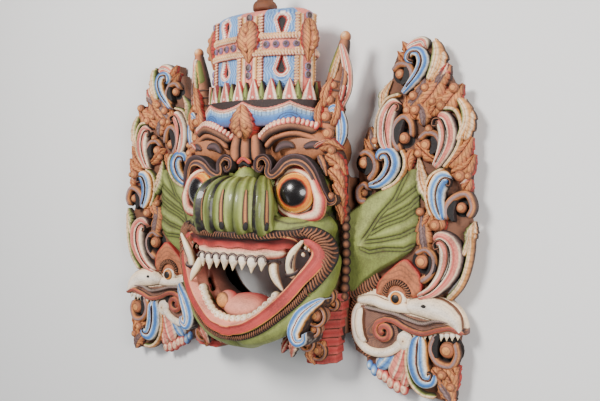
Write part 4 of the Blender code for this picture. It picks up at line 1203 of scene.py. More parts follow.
def skin_tint(points):
    """The colour of each point of the skin, from where it lies."""
    x, y, z = np.abs(points[:, 0]), points[:, 1], points[:, 2]
    flat = np.column_stack([x, y])
    tint = flat_tint("green", points)
    # Paler green on the highest parts is painted highlight, and moss green low on the sides is painted
    # shade.
    tint = blend(tint, rgb("pale_green"), np.clip((z - 84) / 50, 0, 0.5))
    tint = blend(tint, rgb("moss"), np.clip((64 - z) / 30, 0, 0.8))
    near = np.min([away(flat, c) for c in CREASES], axis=0)
    tint = blend(tint, rgb("dark"), near_by(near, 1.5) * 0.85)
    above = np.clip((y - np.interp(x, BROW_LINE_X, BROW_LINE_Y)) / 2, 0, 1)
    tint = blend(tint, rgb("brown"), above)
    tint = blend(tint, rgb("bark"), np.clip((46 - z) / 3, 0, 1) * (x > 118))
    room, hollow = [((points - centre) ** 2 / np.square(radii)).sum(axis=1) for centre,
                    radii in (MOUTH_ROOM, HOLLOW)]
    behind_jaw = y > np.interp(x, [p[0] for p in JAW_BACK[::-1]], [p[1] for p in JAW_BACK[::-1]])
    rim = away(flat, MOUTH)
    cheek_end = (rim < 12) & (z > 78) & (z < 100) & (y > 0) & (y < 30)
    inside = (rim < 3) | cheek_end | (room < 1.05) | ((z < 88) & (x < 112) & (y < 64) & behind_jaw)
    mouth_colour = blend(flat_tint("tongue", points), rgb("rose"), (y - 10) / 30)
    # Deeper into the mouth the colour goes to black: painted shade for the unlit inside of the hole.
    mouth_colour = blend(mouth_colour, rgb("void"), (80 - z) / 20)
    tint = np.where(inside[:, None], mouth_colour, tint)
    behind = (hollow < 1.03) | (z < 1.5)
    return np.where(behind[:, None], rgb("bark"), tint)


SHADE_LIMIT = 0.02


def paint_by_place(mesh, tint_of, paint_name):
    points = np.empty(len(mesh.vertices) * 3)
    mesh.vertices.foreach_get("co", points)
    tints = tint_of(points.reshape(-1, 3) / MM - (0, SHIFT_Y, 0))
    old = mesh.color_attributes.get("tint")
    if old:
        mesh.color_attributes.remove(old)
    layer = mesh.color_attributes.new("tint", "FLOAT_COLOR", "POINT")
    opaque = np.column_stack([tints, np.ones(len(tints))])
    layer.data.foreach_set("color", opaque.astype(np.float32).ravel())
    mesh.materials.clear()
    mesh.materials.append(PAINTS[paint_name])
    mesh.materials.append(PAINTS["deep_dark"])
    # Faces that are all nearly black get the black paint without reflection, so the painted shade inside
    # the mouth shows no sheen.
    dark = tints.max(axis=1) < SHADE_LIMIT
    for face in mesh.polygons:
        face.material_index = int(all(dark[v] for v in face.vertices))
    mesh.shade_smooth()
    mesh.set_sharp_from_angle(angle=SHARP_SKIN)


head_mesh = head.data
head_mesh.name = "head_skin"
bpy.data.objects.remove(head)
paint_by_place(head_mesh, skin_tint, "skin")
place_piece(head_mesh, ["mask_face"])

# %% [markdown]
# ## The nose
# Five fat green petals stand side by side round the front of the snout, each with an ochre
# slot down its middle that ends in a dark hole. They are varnished more than the rest, so
# the light runs down them in long streaks.

# %% Nose petals
NOSE_HALF_WIDTH, NOSE_FRONT, NOSE_ROOT = 66, 158, 112
NOSE_BOTTOM, NOSE_TOP = 88, 162
PETALS = ((0, 19.6), (33, 17.6), (66, 15.0))

nose = Carving("nose", "face_paint", "mask_face")
for degrees, half in PETALS:
    turn = math.radians(degrees)
    for sign in (1, -1) if degrees else (1,):
        facing = (sign * math.sin(turn), 0.0, math.cos(turn))
        x = (NOSE_HALF_WIDTH - 10) * facing[0]
        z = NOSE_ROOT + (NOSE_FRONT - NOSE_ROOT - 15.5) * math.sqrt(facing[2])
        spine = ((x * .98, NOSE_BOTTOM - 2, z - 20), (x, NOSE_BOTTOM + 4, z - 8),
                 (x, NOSE_BOTTOM + 16, z), (x, NOSE_BOTTOM + 42, z), (x * .9, NOSE_TOP - 14, z - 7),
                 (x * .74, NOSE_TOP - 4, z - 22), (x * .6, NOSE_TOP - 3, z - 36))
        tips = ((0, -.6, 1), (facing[0], -.5, facing[2]), facing, facing, (facing[0], .35, facing[2]),
                (facing[0], .9, facing[2]), (facing[0], 1, .3))
        wide = half * np.array((.7, .94, 1, 1, .86, .62, .42))
        stroke(nose, spine, wide, (8, 11, 12, 12, 11, 9, 6), "nose_green", PETAL, up=tips, sink=10)
        out = np.array(facing) * 11.6
        slit = [np.array(p) + out + (0, 0, lift) for p, lift in (((x, NOSE_BOTTOM + 9, z), -1),
            ((x, NOSE_BOTTOM + 22, z), .6), ((x, NOSE_BOTTOM + 42, z), .6),
                ((x * .93, NOSE_TOP - 15, z - 4), .2))]
        stroke(nose, slit, (3.8, 4, 3.2, 1.6), 1.4, "slot", DISHED, up=facing)
        ball(nose, np.array((x, NOSE_BOTTOM + 10, z)) + out * .93, (4.4, 6.5, 2.6), "pool", facing=facing)
stroke(nose, ((4, 156, 112), (4, 166, 110), (2, 178, 102)), (22, 19, 12), 8, "bridge", ROUND,
       up=(0, .3, 1), sink=9)
nose.finish(both_sides=False)

# %% [markdown]
# ## The mouth
# The upper lip is a hollow red cove under a band of curled hair, and the lower lip is a red
# band with a thin gold edge. Pointed teeth hang from a pink gum, each under a dark arch.
# The canines and the two tusks are carved separately and pegged in, so each has a dark ring
# at its root.

# %% Lips and gum
UPPER_LIP = ((-8, 77.4, 135.8), (0, 77, 136), (18, 78, 135), (36, 76, 131), (52, 78, 125), (66, 76, 117),
             (80, 78, 110), (94, 75, 102))
LOWER_LIP = ((98, 84, 98), (110, 78, 93), (117, 68, 88), (117, 56, 90), (110, 42, 98), (100, 28, 106),
             (88, 10, 114), (72, -8, 122), (50, -27, 129), (28, -40, 135), (0, -46, 137),
             (-9, -45.4, 136.8))
LIP_FACING = ((.2, 0, 1), (.4, 0, 1), (.7, 0, 1), (.7, -.1, 1), (.5, -.2, 1), (.4, -.2, 1), (.3, -.2, 1),
              (.2, -.3, 1), (.1, -.3, 1), (0, -.3, 1), (0, -.3, 1), (0, -.3, 1))
GUM = ((0, 60, 129), (20, 60, 128), (40, 60, 123), (60, 61, 114), (76, 62, 104))

mouth = Carving("lips", "face_paint", "mask_face")
stroke(mouth, UPPER_LIP, (10.5, 11, 9.5, 11, 9.5, 11, 9.5, 8.5), 6, "lip_cove", DISHED, up=(0, -.35, 1),
       sink=7, round_ends=(False, True))
stroke(mouth, LOWER_LIP, (8, 10, 12, 11, 9.5, 8.5, 8.5, 8.5, 8, 7.5, 7.5, 7.5), 6, "lip", DISHED,
       up=LIP_FACING, sink=8, round_ends=(True, False))
stroke(mouth, GUM, (8.5, 8.5, 8.5, 8.5, 6), 7.5, "gum", ROUND, up=(0, -.15, 1), sink=8,
       round_ends=(False, True))
# A black ball in the corner of the mouth: painted shade for the dark depth of the hole behind the lips.
ball(mouth, (103, 63, 74), (11, 10, 10), "pool")
for x, y, z in ((98, 70, 92), (103, 67, 90), (94, 60, 92)):
    ball(mouth, (x, y, z), (2.6, 3.6, 4), "tooth", facing=(0, -.6, 1))
mouth.finish()

# %% Teeth in a row
TOOTH_HALF, TOOTH_LONG = 7.0, 20.0
TOOTH_SHAPE = ((0, .75, .8), (.08, .95, 1), (.3, 1, 1), (.46, .86, .9), (.62, .52, .65), (.8, .3, .42),
               (.94, .12, .2), (1, .04, .06))
TEETH_LINE = [(x, 55 + .6 * math.sin(x), 134 - 9 * (x / 60) ** 2) for x in (7.3, 21.8, 36.3, 50.8)]


def tooth(into):
    """One pointed tooth, with its root at the origin and its tip up Z."""
    angle = np.linspace(0, math.tau, 16, endpoint=False)
    along, wide, deep = np.array(TOOTH_SHAPE).T
    x = TOOTH_HALF * wide[:, None] * np.cos(angle)[None]
    y = TOOTH_HALF * .8 * deep[:, None] * np.sin(angle)[None]
    z = np.broadcast_to(TOOTH_LONG * along[:, None], x.shape)
    across = np.broadcast_to(along[:, None], x.shape) * .5 + .2
    into.grid(np.stack([x, y, z], axis=-1), np.stack([across, z * MM], axis=-1), "tooth")


def tooth_arch(into):
    """The dark arch round a tooth's root."""
    angles = np.linspace(-.3, math.pi + .3, 9)
    path = [(TOOTH_HALF * 1.02 * math.cos(a), 4.4, 4.5 - 6.5 * math.sin(a)) for a in angles]
    rope(into, path, 1.8, "tooth_root", up=(0, 1, 0), spacing=1.5, sides=8)


teeth = Carving("teeth", "face_paint", "mask_face")
row(teeth, TEETH_LINE, tooth, 14.5, "tooth", up=(0, -1, .12), uneven=.09, seed=4)
row(teeth, TEETH_LINE, tooth_arch, 14.5, "tooth_root", up=(0, -1, .12), uneven=0.0)


def lump(into):
    ball(into, (0, 0, 0), (6.3, 6, 8), "tooth")


row(teeth, ((5, -33, 128), (22, -31, 126), (38, -24, 122), (52, -12, 117), (64, 2, 111)), lump, 9.5,
    "tooth", uneven=.16, seed=2, up=(0, .3, 1))
teeth.finish()

# %% Canines, tusks and tongue
UPPER_FANG = ((61, 50, 115), (66, 36, 121), (73, 24, 123), (81, 12, 121))
LOWER_TUSK = ((90, 28, 106), (86, 42, 112), (92, 62, 117), (107, 81, 114))


def ring(into, centre, facing, radii, thickness, paint_name):
    """A round collar. facing is the way that its hole looks."""
    turned = np.array(Vector(facing).normalized().to_track_quat("Z", "Y").to_matrix())
    wide, tall = radii
    angles = np.linspace(0, math.tau, 15)
    path = [np.array(centre) + turned @ (wide * math.cos(a), tall * math.sin(a), 0) for a in angles]
    rope(into, path, thickness, paint_name, up=Vector(facing).normalized(), sides=10)


fangs = Carving("fangs", "face_paint", "mask_face")
rope(fangs, UPPER_FANG, (7.2, 6.8, 5.2, 1.4), "tooth", sides=18)
rope(fangs, LOWER_TUSK, (6.4, 6.8, 5.6, 2.2), "tooth", sides=18)
ring(fangs, (62, 48, 117), (.25, -.9, .3), (8.4, 8.4), 2.2, "tooth_root")
ring(fangs, (88, 36, 110), (-.2, .9, .35), (8, 8), 2.4, "tooth_root")
stroke(fangs, ((88, 38, 114), (91, 50, 119), (97, 62, 121)), (2.4, 2, .8), 2, "tooth_root", ROUND,
       up=(.3, 0, 1))
fangs.finish()

tongue = Carving("tongue", "face_paint", "mask_face")
ball(tongue, (6, -20, 92), (40, 20, 34), "tongue", rings=14, sides=36)
ball(tongue, (-22, -12, 106), (16, 15, 14), "tongue", facing=(-.3, .1, 1), rings=12, sides=28)
ball(tongue, (-24, -11, 113), (12, 12, 10), "tongue_end", facing=(-.2, 0, 1), rings=10, sides=28)
tongue.finish(both_sides=False)

# %% [markdown]
# ### Hair round the mouth
# A band of short curled hairs frames the mouth: fat curls at the corners that shrink to a
# beaded edge below the lower lip. One curl is carved, and the row tree lays it along the band.

# %% Moustache and fringe
MOUSTACHE = ((0, 85, 143), (18, 84, 142), (36, 85, 138), (52, 84, 132), (66, 86, 122), (84, 88, 110),
             (104, 90, 98), (120, 84, 86))
FRINGE_CORNER = ((98, 92, 103), (112, 89, 94), (124, 78, 84), (129, 62, 80), (125, 46, 84), (116, 28, 92),
                 (106, 12, 101))
FRINGE_LOW = ((106, 12, 101), (94, -4, 108), (78, -20, 116), (58, -38, 124), (38, -50, 129),
              (18, -57, 132), (0, -58, 133))


def hair(length, thick):
    """Makes one curled hair that arches across the band."""
    def make(into):
        path = [(thick * .9 * math.sin(t * 2.6), length * t,
                 length * .42 * math.cos(t * 1.5)) for t in np.linspace(-1, 1, 7)]
        rope(into, path, (thick * .5, thick, thick, thick, thick, thick * .9, thick * .4), "fringe_rib",
             spacing=2, sides=8)
    return make


def lifted(path, rise):
    return [(x, y, z + rise) for x, y, z in path]


hairs = Carving("mouth_hair", "face_paint", "mask_face")
stroke(hairs, MOUSTACHE, (6, 6, 6, 6.5, 7, 7, 8, 7), 4.5, "hair_bed", ROUND, up=(0, .1, 1), sink=6,
       round_ends=(False, True))
row(hairs, lifted(MOUSTACHE, 3.4), hair(5.2, 1.2), 4.6, "fringe_rib",
    size=(.9, .9, .9, 1, 1.1, 1.1, 1.1, 1), up=(0, .1, 1), lean=.7, uneven=.12)
stroke(hairs, FRINGE_CORNER, (7, 10, 12, 12, 11, 9, 7), 5, "hair_bed", ROUND, up=(.5, 0, 1), sink=6)
row(hairs, lifted(FRINGE_CORNER, 1.5), hair(12, 2.4), 4.9, "fringe_rib",
    size=(.6, .85, 1, 1, .95, .8, .6), up=(.5, 0, 1), lean=-.25, uneven=.08)
stroke(hairs, FRINGE_LOW, (6, 5, 5, 4.5, 4.5, 4, 4), 3.5, "hair_bed", ROUND, up=(.2, -.3, 1), sink=6,
       round_ends=(True, False))
row(hairs, lifted(FRINGE_LOW, 3), hair(5, 1.3), 3.4, "fringe_rib", size=(1.2, 1.05, 1, .9, .85, .8, .8),
    up=(.2, -.3, 1), lean=-.2)
hairs.finish()

# %% [markdown]
# ### The bird's teeth, eye and hair
# These repeat, or lie on top of the head, so they come after the row tree.

# %% The bird's small parts
CREST = ((173, 6, 0), (177, 24, 0), (194, 42, 0), (214, 57, 0), (226, 50, 0), (238, 34, 0), (237, 10, 0),
         (206, 2, 0))


def crest_height(places, share):
    return WING_TOP + 11 - 3 * np.clip((share - .8) * 5, 0, 1)


def crest_tint(places, share):
    swirl = np.sin(np.hypot(places[:, 0] - 206, places[:, 1] - 4) * .9 + np.sin(places[:, 0] * .2) * 2)
    tint = blend(flat_tint("terracotta", places), rgb("bark"), (swirl > .6) * .5)
    return blend(tint, rgb("red"), np.clip((share - .9) * 12, 0, 1))


bird_parts = Carving("bird_parts", "wing_paint", "wing")
plate(bird_parts, CREST, (206, 24), WING_TOP - 3, crest_height, crest_tint, rings=30)
x, y, z = BIRD_EYE
ball(bird_parts, (x, y, z - 2), (14, 12, 5), "cream_band")
ball(bird_parts, (x, y, z), (9.5, 9.5, 7), "bird_eye", rings=12, sides=30)
brow_arch = [(x + 18 * math.cos(a), y + 2 + 20 * math.sin(a), z - 1) for a in np.linspace(.1,
    math.pi - .1, 9)]
stroke(bird_parts, brow_arch, 4, 4, "hair_bed", ROUND)
row(bird_parts, lifted(brow_arch, 3), hair(4.6, 1.3), 3.2, "fringe_rib")
ball(bird_parts, (247, -2, BIRD_TOP + 10), (4, 2.6, 2), "pool")
stroke(bird_parts, level(((228, -36), (250, -37), (272, -34), (292, -31)), BIRD_TOP - 2), 3.4, 6, "gum",
       ROUND)
row(bird_parts, level(((232, -38), (250, -39), (272, -36), (292, -33)), BIRD_TOP + 2), tooth, 7.4,
    "tooth", size=.46, up=(0, -1, .1), uneven=.1)
for path, length in ((((134, 4), (150, 12), (164, 20), (176, 30)), 9),
                     (((140, -6), (136, -26), (139, -50), (150, -68), (166, -80)), 6)):
    stroke(bird_parts, level(path, WING_TOP - 1), length * .8, 6, "hair_bed", ROUND)
    row(bird_parts, level(path, WING_TOP + 4), hair(length, 2.0), 4.4, "fringe_rib", uneven=.1, lean=.15)
bird_parts.finish()

# %% [markdown]
# ## The eyes and brows
# The eyes are balls that bulge out of a pale rim over green lids, painted in rings from a black
# pupil through orange and yellow, and varnished. The brow is one dark band with a brown middle
# line: it rolls up beside the nose, arches over the eye and rolls up again at the temple.

# %% Eyes
EYE_RADIUS = 30.5
RIM = ((35, 0, 3), (32, 40, 4), (31, 90, 4), (31, 140, 2), (31, 180, 1), (32, 225, 1), (33, 270, 2),
       (37, 300, 2), (43, 322, 1), (39, 345, 2), (35, 360, 3))

eyes = Carving("eyes", "face_paint", "mask_face")
ball(eyes, EYE, EYE_RADIUS, "eye", facing=(.28, 0, 1), rings=26, sides=56)
rim_path = [(EYE[0] + r * math.cos(math.radians(a)), EYE[1] + r * math.sin(math.radians(a)),
             90 + lift) for r, a, lift in RIM]
stroke(eyes, rim_path, (6, 4.4, 3.6, 3.4, 3.4, 3.6, 4.4, 6, 8, 7.6, 6), 6, "eye_rim", ROUND,
       up=(.15, 0, 1), round_ends=(False, False), sink=8)
red_path = [(EYE[0] + (r + 5) * math.cos(math.radians(a)), EYE[1] + (r + 5) * math.sin(math.radians(a)),
             87 + lift) for r, a, lift in RIM]
stroke(eyes, red_path, (3, 2.4, 2, 2, 2, 2, 2.4, 3.5, 5, 5, 3), 6, "lip", ROUND, up=(.2, 0, 1),
       round_ends=(False, False), sink=8)
lower_lid = ((46, 118, 92), (56, 108, 92), (70, 103, 92), (88, 104, 91), (104, 107, 86), (118, 112, 78))
stroke(eyes, lower_lid, (3, 5, 6, 6, 7, 4), 6, "lid", ROUND, up=(.1, -.2, 1), sink=8)
stroke(eyes, ((42, 112, 94), (52, 99, 96), (68, 94, 98), (88, 96, 94), (106, 100, 84), (122, 104, 74)),
       (3, 5, 6, 6, 6, 4), 5, "lid", ROUND, up=(.1, -.2, 1), sink=8)
eyes.finish()

# %% Brows
BROW = ((33, 181, 101), (29, 174, 102), (22, 178, 102), (23, 189, 101), (34, 193, 101), (43, 184, 101),
        (42, 172, 101), (48, 168, 101), (58, 173, 103), (70, 184, 104), (84, 189, 103), (98, 186, 100),
        (108, 175, 95), (114, 160, 90), (119, 144, 84), (126, 132, 78), (133, 134, 74), (132, 143, 74))
BROW_WIDTHS = (3, 3.4, 3.6, 4, 4.4, 5, 5.6, 6.2, 7, 7.8, 8, 7.8, 7.2, 6.6, 6, 4.6, 3.6, 2.6)
ARCH = ((27, 216, 101), (48, 228, 107), (76, 235, 99), (104, 229, 82))

brows = Carving("brows", "face_paint", "mask_face")
stroke(brows, BROW, BROW_WIDTHS, 8, "brow", DISHED, up=(.12, 0, 1), sink=9)
ball(brows, (127, 140, 78), (6, 6, 7), "curl_brown")
stroke(brows, ((48, 200, 97), (58, 209, 97), (70, 210, 95), (77, 206, 94)), (3, 6, 5, 2), 2.6,
       "mauve_patch", ROUND)
stroke(brows, ((90, 206, 92), (102, 210, 87), (114, 206, 78), (122, 198, 72)), (3, 6, 7, 3), 2.6,
       "mauve_patch", ROUND, up=(.3, 0, 1))
stroke(brows, ((33, 206, 98), (50, 219, 99), (78, 225, 92), (106, 217, 78)), 4.5, 7, "plain_brown", ROUND,
       up=(0, .2, 1), sink=12)
stroke(brows, ARCH, 5.5, 6, "moustache", ROUND, up=(0, .25, 1), sink=16)


def scallop(into):
    ball(into, (0, 3, 0), (4.3, 6, 3), "scallop_pink", facing=(0, .3, 1))


row(brows, [(x, y + 4, z + 2) for x, y, z in ARCH], scallop, 6.2, "scallop_pink", up=(0, .25, 1))
brows.finish()

# %% Forehead and temples
forehead = Carving("forehead", "face_paint", "mask_face")
for x in (-18, 0, 18):
    stroke(forehead, ((x * .8, 228, 98), (x, 208, 101), (x * 1.05, 186, 99)), (6, 8, 8), 7, "plain_brown",
           ROUND, sink=10)
for x in (-9, 9):
    stroke(forehead, ((x * .9, 224, 96), (x, 205, 97), (x, 188, 96)), (2.6, 3.4, 2), 5, "pool", ROUND,
           sink=8)
stroke(forehead, ((-12, 184, 105), (0, 191, 107), (12, 184, 105)), 3, 3.5, "lip", ROUND)
stroke(forehead, ((-10, 179, 104), (0, 184, 106), (10, 179, 104)), 2.4, 3, "pool", ROUND)
stroke(forehead, ((0, 218, 103), (0, 234, 111), (0, 250, 112), (0, 268, 108)), (15, 22, 18, 3), 8,
       "brown_leaf", LEAF, notch=.14, lobes=6, sink=14)
for x, y in ((0, 250), (-9, 236), (9, 236), (0, 224)):
    ball(forehead, (x, y, 117), (5, 5.4, 3), "curl_brown")
forehead.finish(both_sides=False)

TEMPLE_LEAVES = (
    ("brown_leaf", ((108, 206, 78), (122, 210, 72), (138, 204, 64)), 11),
    ("brown_leaf", ((118, 196, 76), (132, 186, 68), (141, 170, 60)), 12),
    ("brown_leaf", ((121, 178, 72), (133, 164, 66), (138, 148, 58)), 11),
    ("mauve_leaf", ((110, 196, 80), (116, 184, 80), (120, 168, 76)), 6),
    ("brown_leaf", ((126, 158, 66), (134, 142, 60), (135, 124, 54)), 9),
    ("red_leaf", ((104, 206, 82), (112, 212, 80), (120, 216, 76)), 4),
    ("brown_leaf", ((126, 134, 60), (132, 118, 55), (131, 102, 50)), 7),
)
temples = Carving("temples", "face_paint", "mask_face")
rope(temples, ((104, 204, 70), (122, 198, 60), (127, 174, 54), (127, 150, 50), (127, 128, 46),
               (123, 106, 44)), (12, 13, 12, 10, 9, 6), "plain_brown")
leaves(temples, TEMPLE_LEAVES, 9)
for x, y, z, radius in ((126, 202, 76, 6.5), (132, 180, 70, 6), (130, 160, 66, 5.5), (132, 138, 62, 5.5),
                        (114, 214, 78, 5)):
    ball(temples, (x, y, z), radius, "curl_brown")


def bead(into):
    ball(into, (0, 0, 0), (6.2, 5.6, 6), "bead")
    ring(into, (0, 0, 1), (0, 0, 1), (4, 4), 1, "bead")


row(temples, [(134, y, 45 + 2 * math.sin(y)) for y in np.linspace(2, 122, 10)], bead, 12, "bead",
    uneven=.12, seed=5, up=(.4, 0, 1), size=1.15)
temples.finish()

# %% [markdown]
# ## The locks beside the chin
# Below each cheek hang a blue scroll, brown curls and a stack of pink ribs like a folded
# collar, with a feather and a few small leaves between them.

# %% Locks
RIBS, RIB_STEP = 8, 12.4

locks = Carving("locks", "face_paint", "mask_face")
ball(locks, (104, -42, 34), (25, 48, 24), "ground", rings=12, sides=30)
for rib in range(RIBS):
    y, back, reach = -RIB_STEP * rib, 92 - 2.2 * rib, 134 - 1.3 * rib
    stroke(locks, ((back, y - 5, 46), (106, y - 2, 51), (reach - 10, y, 47), (reach, y + 1, 42)),
           (5.6, 6, 6, 5.8), 10, "rib_pink", FLAT, up=(.15, 0, 1), sink=16, round_ends=(True, False))
stroke(locks, ((127, 2, 86), (116, -6, 94), (104, -18, 100), (96, -32, 102), (92, -45, 103),
               (97, -56, 102), (107, -53, 100), (108, -43, 100)), (4, 7, 10, 11, 10, 8, 5, 3), 12,
       "blue_scroll", sink=34)
stroke(locks, ((110, 4, 68), (96, -6, 80), (84, -20, 86), (77, -36, 88), (75, -52, 86)), (3, 4, 4, 4, 2),
       10, "gold_rim", ROUND, sink=18)
LOCK_CURLS = ((119, 4, 66, 8), (115, -21, 88, 11), (110, -41, 86, 7), (92, -63, 72, 9), (74, -61, 78, 6),
              (104, -74, 62, 10), (124, -8, 58, 6))
for x, y, z, radius in LOCK_CURLS:
    stroke(locks, [(*p, z - 2) for p in spiral((x, y), radius * 1.45, radius * .9, .8, 200)], 2.6, 7,
           "brown_band", ROUND, sink=18)
    ball(locks, (x, y, z - 3), (radius * 1.3, radius * 1.3, 5), "pool")
    ball(locks, (x, y, z), (radius * .8, radius * .8, radius * .9), "curl_brown")
LOCK_LEAVES = (
    ("pink_feather", ((86, -52, 86), (80, -66, 88), (74, -84, 82)), 9),
    ("red_leaf", ((72, -56, 82), (63, -68, 82), (54, -82, 76)), 8),
    ("brown_leaf", ((96, -64, 66), (92, -82, 64), (98, -96, 58)), 9),
    ("brown_leaf", ((112, -60, 58), (108, -80, 56), (114, -94, 50)), 9),
    ("brown_leaf", ((84, -42, 80), (72, -54, 80), (66, -66, 76)), 6),
)
leaves(locks, LOCK_LEAVES, 9)
locks.finish()

# %% [markdown]
# ## The crown
# The crown is an oval drum in two tiers between bands. Its blue panels, pink straps and
# keyholes are painted more than carved, so each tier is one grid round the oval. The colour
# and the small relief of every point come from how far round and how high it lies.

# %% Tiers round an oval
CROWN_HALF_WIDTH, CROWN_HALF_DEPTH, CROWN_MIDDLE_Z = 84.0, 34.0, 62.0
CROWN_FOOT, BAND_TOP, LOWER_ROPE, UPPER_ROPE, CROWN_TOP = 236.0, 273.0, 336.0, 359.0, 398.0
ROPE_HEIGHT = 7.0
STRAP_DEGREES, STRAP_HALF = 72.0, 14.5


def crown_place(degrees, height, out=0.0):
    """A point on the drum's face, at an angle from the middle and a height up the crown."""
    turn = np.radians(degrees)
    return np.stack([(CROWN_HALF_WIDTH + out) * np.sin(turn), np.broadcast_to(height,
        np.shape(turn)) * 1.0, CROWN_MIDDLE_Z + (CROWN_HALF_DEPTH + out) * np.cos(turn)], axis=-1)


def crown_facing(degrees):
    turn = np.radians(degrees)
    return unit(np.stack([np.sin(turn) / CROWN_HALF_WIDTH, turn * 0, np.cos(turn) / CROWN_HALF_DEPTH],
                         axis=-1))


# Even steps of length round the oval, because even angles would crowd at its ends.
EVEN = np.linspace(-180, 180, 2001)
ARC = np.concatenate([[0], np.cumsum(np.linalg.norm(np.diff(crown_place(EVEN, 0), axis=0), axis=1))])
ARC_MIDDLE = np.interp(0, EVEN, ARC)


def degrees_at(count):
    return np.interp(np.linspace(0, ARC[-1], count, endpoint=False), ARC, EVEN)


def tier(into, heights, outs, look, columns=330):
    """A closed drum. look(arc, degrees, height) gives the colours and the relief of its points."""
    around = degrees_at(columns)
    degrees, height = np.meshgrid(around, heights)
    out = np.broadcast_to(np.asarray(outs, float)[:, None], degrees.shape)
    arc = np.interp(degrees, EVEN, ARC) - ARC_MIDDLE
    tints, relief = look(arc.ravel(), degrees.ravel(), height.ravel())
    points = crown_place(degrees, height, out + relief.reshape(degrees.shape))
    uvs = np.stack([arc * MM, height * MM], axis=-1)
    into.grid(points, uvs, "coloured", tints=tints.reshape(*degrees.shape, 3))


def step(colours, value):
    """The colour whose limit the value stays under. colours is ((limit, name), ...) in rising order."""
    limits = np.array([limit for limit, _ in colours])
    table = np.array([rgb(name) for _, name in colours])
    return table[np.clip(np.searchsorted(limits, value), 0, len(colours) - 1)]


# %% The scalloped band
SCALLOP = 60.0


def band_look(arc, degrees, height):
    share = (arc / SCALLOP) % 1.0
    below = BAND_TOP - 2.5 - 9 * np.sin(math.pi * share) - height
    tint = step(((0, "dark"), (2.6, "pink"), (3.6, "cream"), (4.6, "red"), (6.5, "white"), (11, "sky"),
                 (50, "blue")), below)
    tint = blend(tint, rgb("sky"), np.clip((16 - below) / 8, 0, 1) * (below > 6.5) * .6)
    peak = np.hypot((np.abs(share - .5) - .5) * SCALLOP, (height - 243) * 1.2)
    arcs = (np.sin(peak * 1.5) > .45) & (peak < 15) & (below > 12)
    dash = ((arc % 5.2) < .9) & (below > 5) & (below < 12)
    tint = blend(tint, rgb("dark"), np.where(arcs | dash, .75, 0))
    # Plum towards the foot of the band: painted shade under the brow arch.
    tint = blend(tint, rgb("plum"), np.clip((246 - height) / 9, 0, 1) * .8)
    return tint, np.where(below < 0, -2.0, np.where(below < 4.6, 1.2, 0.0)) * (height < BAND_TOP - .1)


crown = Carving("crown", "face_paint", "mask_face")
band_heights = [CROWN_FOOT, CROWN_FOOT, *np.arange(CROWN_FOOT + 1, BAND_TOP, 1.0), BAND_TOP, BAND_TOP]
tier(crown, band_heights, [-12, 13, *np.linspace(14, 16, len(band_heights) - 4), 14, -12], band_look, 400)


# %% The blue panels and their keyholes
def panel_look(round_end, slot_end):
    """The look of a tier with straps, blue panels and a keyhole whose round end is at one height."""
    def look(arc, degrees, height):
        nearest = np.abs((degrees + STRAP_DEGREES / 2) % STRAP_DEGREES - STRAP_DEGREES / 2)
        key_middle = (np.floor(degrees / STRAP_DEGREES) + .5) * STRAP_DEGREES
        side = np.abs(arc + ARC_MIDDLE - np.interp(key_middle, EVEN, ARC))
        along = (height - round_end) * np.sign(slot_end - round_end)
        width = np.interp(along, (0, abs(slot_end - round_end)), (KEYHOLE_RADIUS, 2.6))
        edge = np.where(along < 0, np.hypot(side, along) - KEYHOLE_RADIUS, side - width)
        tint = step(((-2.6, "black"), (-.6, "red"), (1.2, "white"), (2.6, "pink"), (3.2, "rose"),
                     (4.2, "white"), (200, "sky")), edge)
        waves = np.sin((edge + 1.6 * np.sin(height * .35)) * 1.5)
        tint = blend(tint, rgb("blue"), (edge > 4.2) * np.clip(.55 + .5 * waves, 0, 1))
        fan = np.hypot(side - 19, height - (BAND_TOP + 14))
        tint = blend(tint, rgb("dark"), ((np.sin(fan * 1.7) > .75) & (fan < 15) & (edge > 4)) * .55)
        strap = nearest < STRAP_HALF + 1
        tint = np.where(strap[:, None], rgb("pink"), tint)
        return tint, np.where(strap, 0.0, np.clip(-edge, -.4, 2.5) * -2.0)
    return look


KEYHOLE_RADIUS = 8.5
lower_heights = [BAND_TOP - 4, BAND_TOP - 4, *np.arange(BAND_TOP - 3, LOWER_ROPE + 2, 1.1)]
tier(crown, lower_heights, [-25, *[0] * (len(lower_heights) - 1)], panel_look(318, LOWER_ROPE - 1))
upper_heights = [*np.arange(UPPER_ROPE + 2, CROWN_TOP - 3, 1.1)]
dome = [(CROWN_TOP - 1, -2), (CROWN_TOP + 3, -7), (CROWN_TOP + 6.5, -14), (CROWN_TOP + 9, -22),
        (CROWN_TOP + 9.5, -31)]
tier(crown, [*upper_heights, *[h for h, _ in dome]], [*[0] * len(upper_heights), *[o for _, o in dome]],
     panel_look(385, UPPER_ROPE + ROPE_HEIGHT + 1))


def pink_look(arc, degrees, height):
    return flat_tint("pink", arc), arc * 0.0


tier(crown, [LOWER_ROPE + 2, LOWER_ROPE + 2, UPPER_ROPE + 4, UPPER_ROPE + 4], [-25, 3.4, 3.4, -25],
     pink_look, 120)


# %% Ropes, points and jewels round the crown
def twist(into):
    """One turn of the rope: a slanting fat bead."""
    ball(into, (0, 0, 0), (3.1, 5.6, 4.2), "rope_gold", facing=(.45, .3, .8), rings=5, sides=10)


def pointed_leaf(paint_name, half, tall, thick):
    def make(into):
        stroke(into, ((0, 0, 0), (0, tall * .35, .8), (0, tall * .7, .6), (0, tall, 0)),
               (half, half * .68, half * .35, .4), thick, paint_name, PETAL, round_ends=(False, False),
               spacing=1.5, sink=4)
        ball(into, (0, tall * .16, thick), (half * .36, half * .36, 1.3), paint_name)
    return make


def jewel(into):
    ball(into, (0, 0, 0), (5.2, 5.2, 2), "scallop_pink", rings=5, sides=16)
    ball(into, (0, 0, 1.2), (3.9, 3.9, 3), "jewel", rings=6, sides=16)


